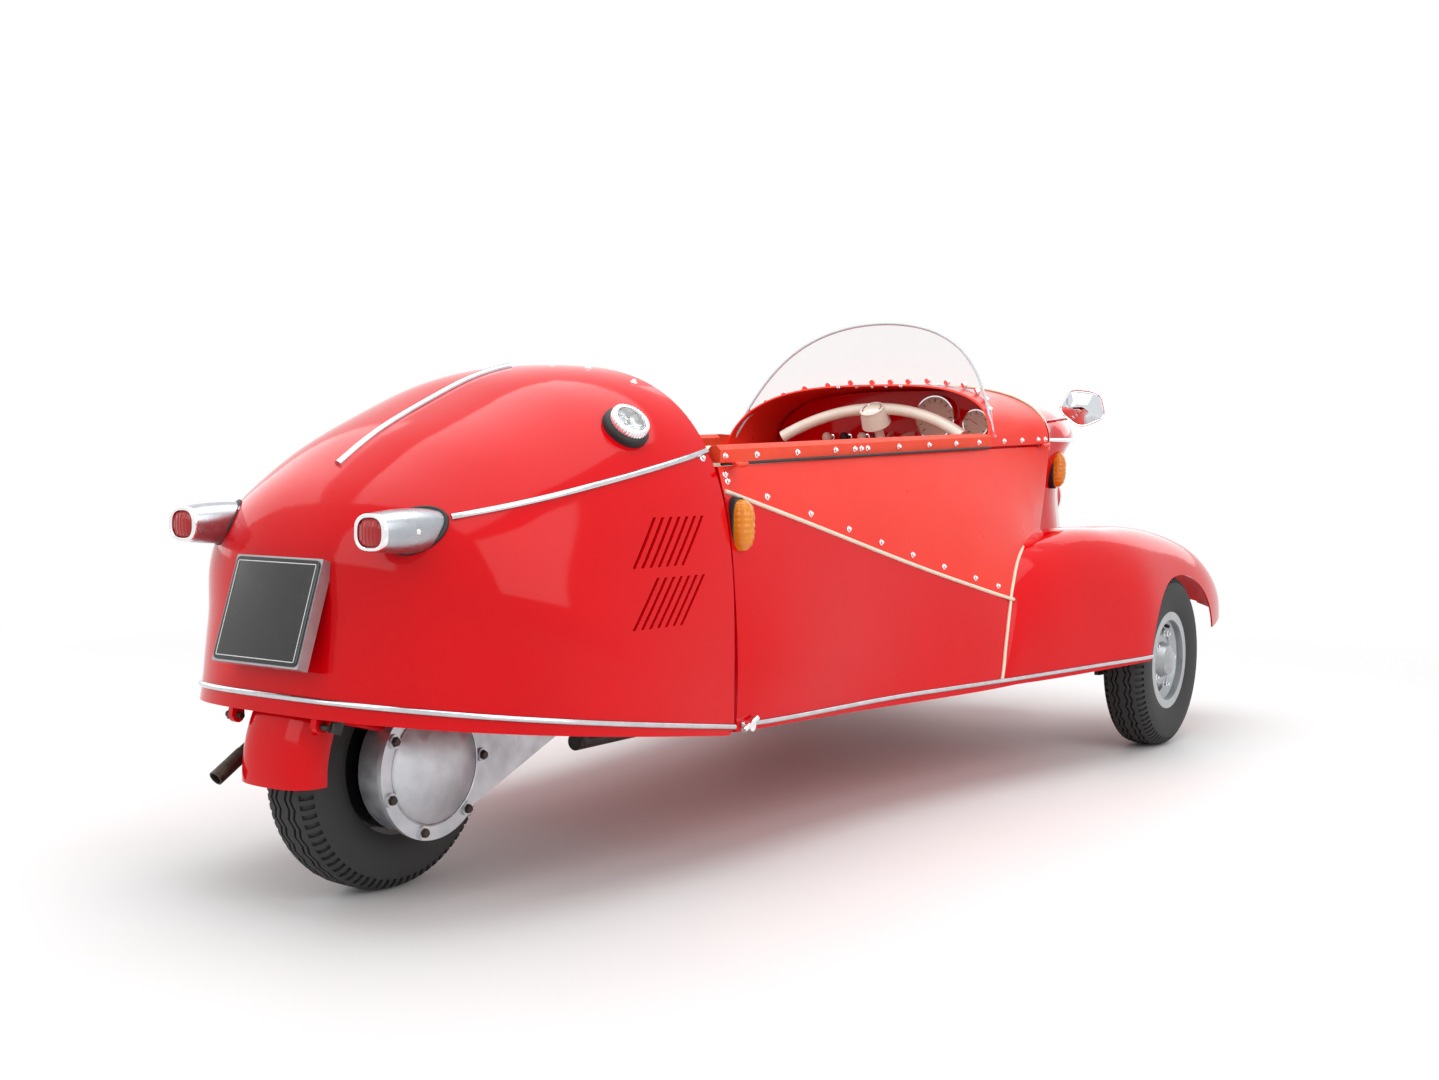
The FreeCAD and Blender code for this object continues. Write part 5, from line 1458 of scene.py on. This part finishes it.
@dataclass
class Cockpit:
    """Gauge, knobs, column bracket, yoke rings, floor mats and the scuttle's inner piping."""

    frame: dict
    board: float = 1742
    small_gauge: tuple = (-205, 775, 0.033, 9)
    large_gauge: tuple = (-95, 790, 0.052, 13)
    mark_shares: tuple = (0.72, 0.8, 0.87)
    mark_height: Vector = field(default_factory=lambda: Vector((0, 0, 0.0124)))
    needle_shares: tuple = (-0.12, 0.3, 0.7)
    needle_height: Vector = field(default_factory=lambda: Vector((0, 0, 0.0132)))
    needle_turn: float = 2.6
    knob_up: float = 743
    cream_knobs: tuple = (103, 205)
    black_knobs: tuple = (154, 60)
    hub: tuple = (1600, 0, 790)
    column_lean: float = 33
    clamp_down: float = 0.085
    bracket_up: float = 752
    front_mat: tuple = ((1440, -250), (1735, 250))
    rear_mat: tuple = ((885, -270), (990, 270))
    mat_thickness: float = 0.004
    mat_corner: float = 0.02
    hoop_piping: float = 0.0035

    def build(self) -> None:
        """Build each fitting."""
        self.gauge("small_gauge", *self.small_gauge)
        self.gauge("large_gauge", *self.large_gauge)
        self.knobs()
        self.yoke_rings()
        self.bracket()
        self.mats()
        self.board_piping()

    def gauge(self, name: str, left: float, up: float, radius: float, ticks: int) -> None:
        """A round dial with a chrome bezel, black ticks, a red needle and a glass.

        Args:
            name: The gauge's name.
            left: Millimetres left of the centre plane.
            up: Millimetres above the ground.
            radius: The dial's radius in metres.
            ticks: How many ticks the scale has.
        """
        place = facing(spot(self.board, left, up), Vector((-1, 0, 0)))
        body = turned(name + "_dial", [(radius, 0.0), (radius, 0.012), (0.004, 0.0122), (0.0, 0.0122)],
                      place, 40)
        fit(body, "body", Finishes.DIAL_CREAM, *(("instruments",) if "small" in name else ()))
        bezel = turned(name + "_bezel", [(radius + 0.003, 0.0), (radius + 0.003, 0.013),
                                         (radius + 0.0015, 0.0165), (radius - 0.0015, 0.0165),
                                         (radius - 0.003, 0.0135), (radius - 0.003, 0.011)],
                       place, 48)
        fit(bezel, "body", Finishes.CHROME)
        marks = []
        for i in range(ticks):
            turn = math.radians(225 - 270 * i / (ticks - 1))
            way = Vector((math.cos(turn), math.sin(turn), 0))
            points = [place @ (way * (radius * share) + self.mark_height) for share in self.mark_shares]
            marks.append(bead("tick", points, 0.0008 if i % 2 else 0.0012))
        fit(joined(name + "_ticks", marks), "body", Finishes.BLACK_PLASTIC)
        tip = Vector((math.cos(self.needle_turn), math.sin(self.needle_turn), 0))
        points = [place @ (tip * (radius * share) + self.needle_height) for share in self.needle_shares]
        needle = bead(name + "_needle", points, 0.0009)
        fit(needle, "body", Finishes.RED_ENAMEL_PAINTED_REFLECTION)
        glass = turned(name + "_glass", [(radius - 0.002, 0.0142), (radius - 0.002, 0.0150),
                                         (radius * 0.5, 0.0162), (0.0, 0.0166)], place, 40)
        fit(glass, "body", Finishes.CLEAR_SHEET)

    def knobs(self) -> None:
        """Cream and black pull knobs on chrome roses along the board."""
        knob = [(0.004, 0.0), (0.004, 0.012), (0.010, 0.015), (0.0125, 0.020), (0.0125, 0.024),
                (0.009, 0.0285), (0.0, 0.0295)]
        for name, finish, lefts in (("cream_knobs", Finishes.CREAM_PLASTIC, self.cream_knobs),
                                    ("black_knobs", Finishes.BLACK_PLASTIC, self.black_knobs)):
            places = [facing(spot(self.board, left, self.knob_up), Vector((-1, 0, 0))) for left in lefts]
            fit(copies(turned("knob", knob, AT_ORIGIN, 24), name, places), "body", finish)
        rose = turned("rose", [(0.011, -0.001), (0.011, 0.002), (0.008, 0.0035), (0.0, 0.0035)],
                      AT_ORIGIN, 24)
        places = [facing(spot(self.board, left, self.knob_up), Vector((-1, 0, 0)))
                  for left in sorted(self.cream_knobs + self.black_knobs)]
        fit(copies(rose, "knob_roses", places), "body", Finishes.CHROME)

    def column(self) -> Vector:
        """Unit direction up the steering column."""
        lean = math.radians(self.column_lean)
        return Vector((-math.sin(lean), 0, math.cos(lean)))

    def yoke_rings(self) -> None:
        """Raised rings and a cap on the yoke's boss."""
        axis = self.column()
        place = facing(spot(*self.hub) + axis * 0.0195, axis)
        cap = turned("yoke_cap", [(0.0305, -0.004), (0.0305, 0.0035), (0.029, 0.005), (0.0265, 0.005),
                                  (0.0255, 0.0038), (0.022, 0.0038), (0.0205, 0.006), (0.017, 0.0078),
                                  (0.009, 0.0088), (0.0, 0.009)], place, 48)
        fit(cap, "steering", Finishes.CREAM_PLASTIC)
        ring = turned("yoke_ring", [(0.0215, 0.003), (0.0235, 0.003), (0.0237, 0.0052), (0.0225, 0.0062),
                                    (0.0213, 0.0052)], place, 48, False)
        fit(ring, "steering", Finishes.CHROME)

    def bracket(self) -> None:
        """Cream bracket from the board to a clamp round the steering column."""
        axis = self.column()
        grip = spot(*self.hub) - axis * self.clamp_down
        collar = turned("collar", [(0.0165, -0.018), (0.0175, -0.016), (0.0175, 0.016), (0.0165, 0.018),
                                   (0.0122, 0.018), (0.0122, -0.018)], facing(grip, axis), 32, False)
        foot = spot(self.board, 0, self.bracket_up)
        arms = [bead("arm", [foot + Vector((0, side * 0.03, 0)), foot + Vector((-0.03, side * 0.022, -0.004)),
                             grip + Vector((0.030, side * 0.012, 0.008)),
                             grip + Vector((0.012, side * 0.008, 0.0))],
                     0.006) for side in (-1, 1)]
        fit(joined("column_bracket", [collar, *arms]), "body", Finishes.CREAM_PLASTIC)

    def mats(self) -> None:
        """Ribbed rubber mats on the tub's floor."""
        for name, (low, high) in (("front_mat", self.front_mat), ("rear_mat", self.rear_mat)):
            deselect()
            bpy.ops.mesh.primitive_plane_add(size=1)
            mat = rename(bpy.context.object, name)
            floor = Skin(self.frame, "tub_shell").hit(spot((low[0] + high[0]) / 2, 0, 400),
                                                      Vector((0, 0, -1)))
            if not floor:
                bpy.data.objects.remove(mat)
                continue
            size = ((high[0] - low[0]) * MM, (high[1] - low[1]) * MM)
            mat.scale = (size[0], size[1], 1)
            mat.location = Vector((spot((low[0] + high[0]) / 2, 0, 0).x, 0, floor[0].z + 0.003))
            settle(mat)
            bpy.ops.object.mode_set(mode="EDIT")
            bpy.ops.mesh.select_all(action="SELECT")
            bpy.ops.mesh.bevel(affect="VERTICES", offset=self.mat_corner, segments=4)
            bpy.ops.mesh.extrude_region_move(TRANSFORM_OT_translate={"value": (0, 0, self.mat_thickness)})
            bpy.ops.mesh.select_all(action="SELECT")
            bpy.ops.mesh.normals_make_consistent(inside=False)
            bpy.ops.object.mode_set(mode="OBJECT")
            fit(mat, "body", Finishes.RIBBED_MAT)

    def board_piping(self) -> None:
        """Cream piping over the board's edge and studs round the inside of the scuttle's hoop."""
        shell = Skin(self.frame, "scuttle_panel")
        inside = [shell.under(1752, turn) for turn in span(16, 164, 30)]
        points = [place + normal * 0.012 for place, normal in (h for h in inside if h)]
        if len(points) > 3:
            fit(bead("board_piping", points, self.hoop_piping), "body", Finishes.CREAM_PIPING)
        stud = turned("stud", [(0.0055, -0.002), (0.0055, 0.0008), (0.004, 0.0022), (0.002, 0.0036),
                               (0.0, 0.004)], AT_ORIGIN, 14)
        hits = [shell.under(1516 + 72 * math.sin(math.radians(turn)) ** 2, turn)
                for turn in span(24, 156, 11)]
        places = [facing(place, normal) for place, normal in (h for h in hits if h)]
        if places:
            fit(copies(stud, "hoop_studs", places), "canopy", Finishes.CHROME)


@dataclass
class ScreenFittings:
    """Polished edges and foot bolts of the windscreen."""

    frame: dict
    focus: float = 1525
    sheet: float = 0.0025
    edge_radius: float = 0.0031
    rear_turns: tuple = (29, 151)
    foot_turns: tuple = (-93, 93)
    bolt_up: float = 12
    bolt_turns: tuple = (92, 86, 79.5, 72, 63, 51, 36, 18)

    def build(self) -> None:
        """Run a strip round the sheet's edge and set dome-headed bolts above its foot."""
        glass = Skin(self.frame, "windscreen")
        rear = [self.rear_place(glass, turn) for turn in span(*self.rear_turns, 62)]
        foot = [self.foot_place(glass, turn, 1) for turn in span(*self.foot_turns, 63)]
        for name, hits in (("screen_edge", rear), ("screen_foot", foot)):
            points = [place - normal * self.sheet for place, normal in (h for h in hits if h)]
            if len(points) > 3:
                fit(bead(name, points, self.edge_radius), "canopy", Finishes.SHEET_EDGE)
        bolt = turned("bolt", [(0.007, -0.007), (0.007, 0.0006), (0.0055, 0.0014), (0.0042, 0.0014),
                               (0.0040, 0.0036), (0.0022, 0.0048), (0.0, 0.0050)], AT_ORIGIN, 16)
        hits = [self.foot_place(glass, sign * turn, self.bolt_up)
                for sign in (-1, 1) for turn in self.bolt_turns]
        hits.append(self.foot_place(glass, 0, self.bolt_up))
        fit(copies(bolt, "screen_bolts", [facing(*hit) for hit in hits if hit]), "canopy", Finishes.CHROME)

    def rear_place(self, glass: Skin, turn: float) -> Optional[tuple[Vector, Vector]]:
        """Place on the sheet's free rear edge.

        Args:
            glass: The sheet.
            turn: Degrees from level on the right over the top.

        Returns:
            Place and normal, or None where there is no sheet.
        """
        ahead = 1500.0
        while not glass.round(ahead, turn) and ahead < 1660:
            ahead += 4
        low = ahead - 4
        for _ in range(8):
            mid = (low + ahead) / 2
            low, ahead = (low, mid) if glass.round(mid, turn) else (mid, ahead)
        return glass.round(ahead, turn)

    def foot_place(self, glass: Skin, turn: float, lift: float) -> Optional[tuple[Vector, Vector]]:
        """Place a little above the sheet's foot, seen level from outside.

        Args:
            glass: The sheet.
            turn: Degrees left of straight ahead.
            lift: Millimetres above the foot.

        Returns:
            Place and normal, or None where there is no sheet.
        """
        angle = math.radians(turn)
        out = Vector((math.cos(angle), math.sin(angle), 0))
        for up in range(700, 900, 2):
            found = glass.hit(spot(self.focus, 0, up) + out, -out)
            if found and (found[0] - spot(self.focus, 0, up)).dot(out) > 0:
                return glass.hit(spot(self.focus, 0, up + lift) + out, -out)
        return None


@dataclass
class Studio:
    """Floor, lamps, background and the camera of the photograph's view."""

    eye: tuple = (-1842.6, -1937.9, 701.2)
    heading: float = 34.74
    dip: float = 3.04
    roll: float = 0.36
    focal_px: float = 1638.0
    fade_from: float = 1.75
    fade_to: float = 3.8
    surround: float = 0.5
    aim: tuple = (950, 0, 450)
    film_mm: float = 36.0
    boxes: tuple = (("overhead", (900, 0, 3600), 4.0, 95.0), ("right", (300, -3600, 2400), 3.0, 60.0),
                    ("rear", (-3600, 800, 2600), 2.6, 40.0), ("left", (600, 3800, 2200), 3.0, 35.0),
                    ("front", (5200, 300, 2400), 3.0, 35.0))

    def build(self) -> None:
        """Set up the view and the light."""
        self.camera()
        self.floor()
        self.lamps()
        self.world()
        bpy.context.scene.view_settings.view_transform = "Standard"

    def camera(self) -> None:
        """Place the camera of the photograph."""
        deselect()
        bpy.ops.object.camera_add(location=spot(*self.eye))
        camera = rename(bpy.context.object, "camera")
        heading, dip = math.radians(self.heading), math.radians(self.dip)
        look = Vector((math.cos(heading) * math.cos(dip), math.sin(heading) * math.cos(dip), -math.sin(dip)))
        turn = look.to_track_quat("-Z", "Y") @ Quaternion((0, 0, 1), math.radians(self.roll))
        camera.rotation_mode = "QUATERNION"
        camera.rotation_quaternion = turn
        camera.data.sensor_width = self.film_mm
        camera.data.lens = self.focal_px * self.film_mm / IMAGE_WIDTH
        camera.data.clip_end = 100.0
        bpy.context.scene.camera = camera

    def floor(self) -> None:
        """A plain pale floor that runs out of view."""
        deselect()
        bpy.ops.mesh.primitive_grid_add(x_subdivisions=4, y_subdivisions=4, size=40)
        ground = rename(bpy.context.object, "floor")
        made = bpy.data.materials.new("pale_floor")
        made.use_nodes = True
        tree = made.node_tree
        tree.nodes.clear()
        place = add_node(tree, "ShaderNodeTexCoord").outputs["Object"]
        cloud = add_node(tree, "ShaderNodeTexNoise", {"Vector": place, "Scale": 2.0})
        tone = add_node(tree, "ShaderNodeMapRange", {"Value": cloud.outputs["Fac"], "To Min": 0.8,
                                                     "To Max": 0.84})
        shader = add_node(tree, "ShaderNodeBsdfPrincipled", {"Base Color": tone.outputs["Result"]})
        shader.inputs["Roughness"].default_value = 0.6
        away = add_node(tree, "ShaderNodeVectorMath", {0: place}, operation="LENGTH")
        fade = add_node(tree, "ShaderNodeMapRange", {"Value": away.outputs["Value"],
                                                     "From Min": self.fade_from, "From Max": self.fade_to},
                        interpolation_type="SMOOTHSTEP")
        glow = add_node(tree, "ShaderNodeEmission", {"Color": (1, 1, 1, 1), "Strength": self.seen(tree)})
        mix = add_node(tree, "ShaderNodeMixShader", {0: fade.outputs["Result"], 1: shader.outputs["BSDF"],
                                                     2: glow.outputs["Emission"]})
        add_node(tree, "ShaderNodeOutputMaterial", {"Surface": mix.outputs["Shader"]})
        ground.data.materials.append(made)

    def seen(self, tree: bpy.types.NodeTree) -> bpy.types.NodeSocket:
        """One for rays that the camera, a mirror surface or glass sends, else the surround's plain level.

        Args:
            tree: The material's or world's node tree.

        Returns:
            The socket of the level.
        """
        path = add_node(tree, "ShaderNodeLightPath")
        first = add_node(tree, "ShaderNodeMath", {0: path.outputs["Is Camera Ray"],
                                                  1: path.outputs["Is Glossy Ray"]},
                         operation="MAXIMUM")
        both = add_node(tree, "ShaderNodeMath", {0: first.outputs["Value"],
                                                 1: path.outputs["Is Transmission Ray"]},
                        operation="MAXIMUM")
        level = add_node(tree, "ShaderNodeMapRange", {"Value": both.outputs["Value"], "To Min": self.surround,
                                                      "To Max": 1.0})
        return level.outputs["Result"]

    def lamps(self) -> None:
        """Soft boxes over the car and to its sides."""
        for name, where, size, power in self.boxes:
            deselect()
            bpy.ops.object.light_add(type="AREA", location=spot(*where))
            lamp = rename(bpy.context.object, "lamp_" + name)
            lamp.data.size = size
            lamp.data.energy = power
            aim = spot(*self.aim) - spot(*where)
            lamp.rotation_mode = "QUATERNION"
            lamp.rotation_quaternion = aim.to_track_quat("-Z", "Y")

    def world(self) -> None:
        """Even pale surroundings that show white to the camera and in bright metal."""
        world = bpy.data.worlds.new("surround")
        bpy.context.scene.world = world
        world.use_nodes = True
        tree = world.node_tree
        tree.nodes.clear()
        back = add_node(tree, "ShaderNodeBackground", {"Color": (1, 1, 1, 1), "Strength": self.seen(tree)})
        add_node(tree, "ShaderNodeOutputWorld", {"Surface": back.outputs["Background"]})


def main() -> None:
    """Build the car's pieces in order, then the studio, and note the sizes."""
    logging.basicConfig(level=logging.INFO, format="%(name)s: %(message)s")
    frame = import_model()
    parts = (Paintwork(frame), Wheels(), Trim(frame), TailLamps(frame), Plate(), FuelCap(), Flashers(frame),
             DrivingMirror(), Headlamps(), DriveCase(), Cockpit(frame), ScreenFittings(frame),
             Seats(frame), Studio())
    for part in parts:
        part.build()


if __name__ == "__main__":
    main()
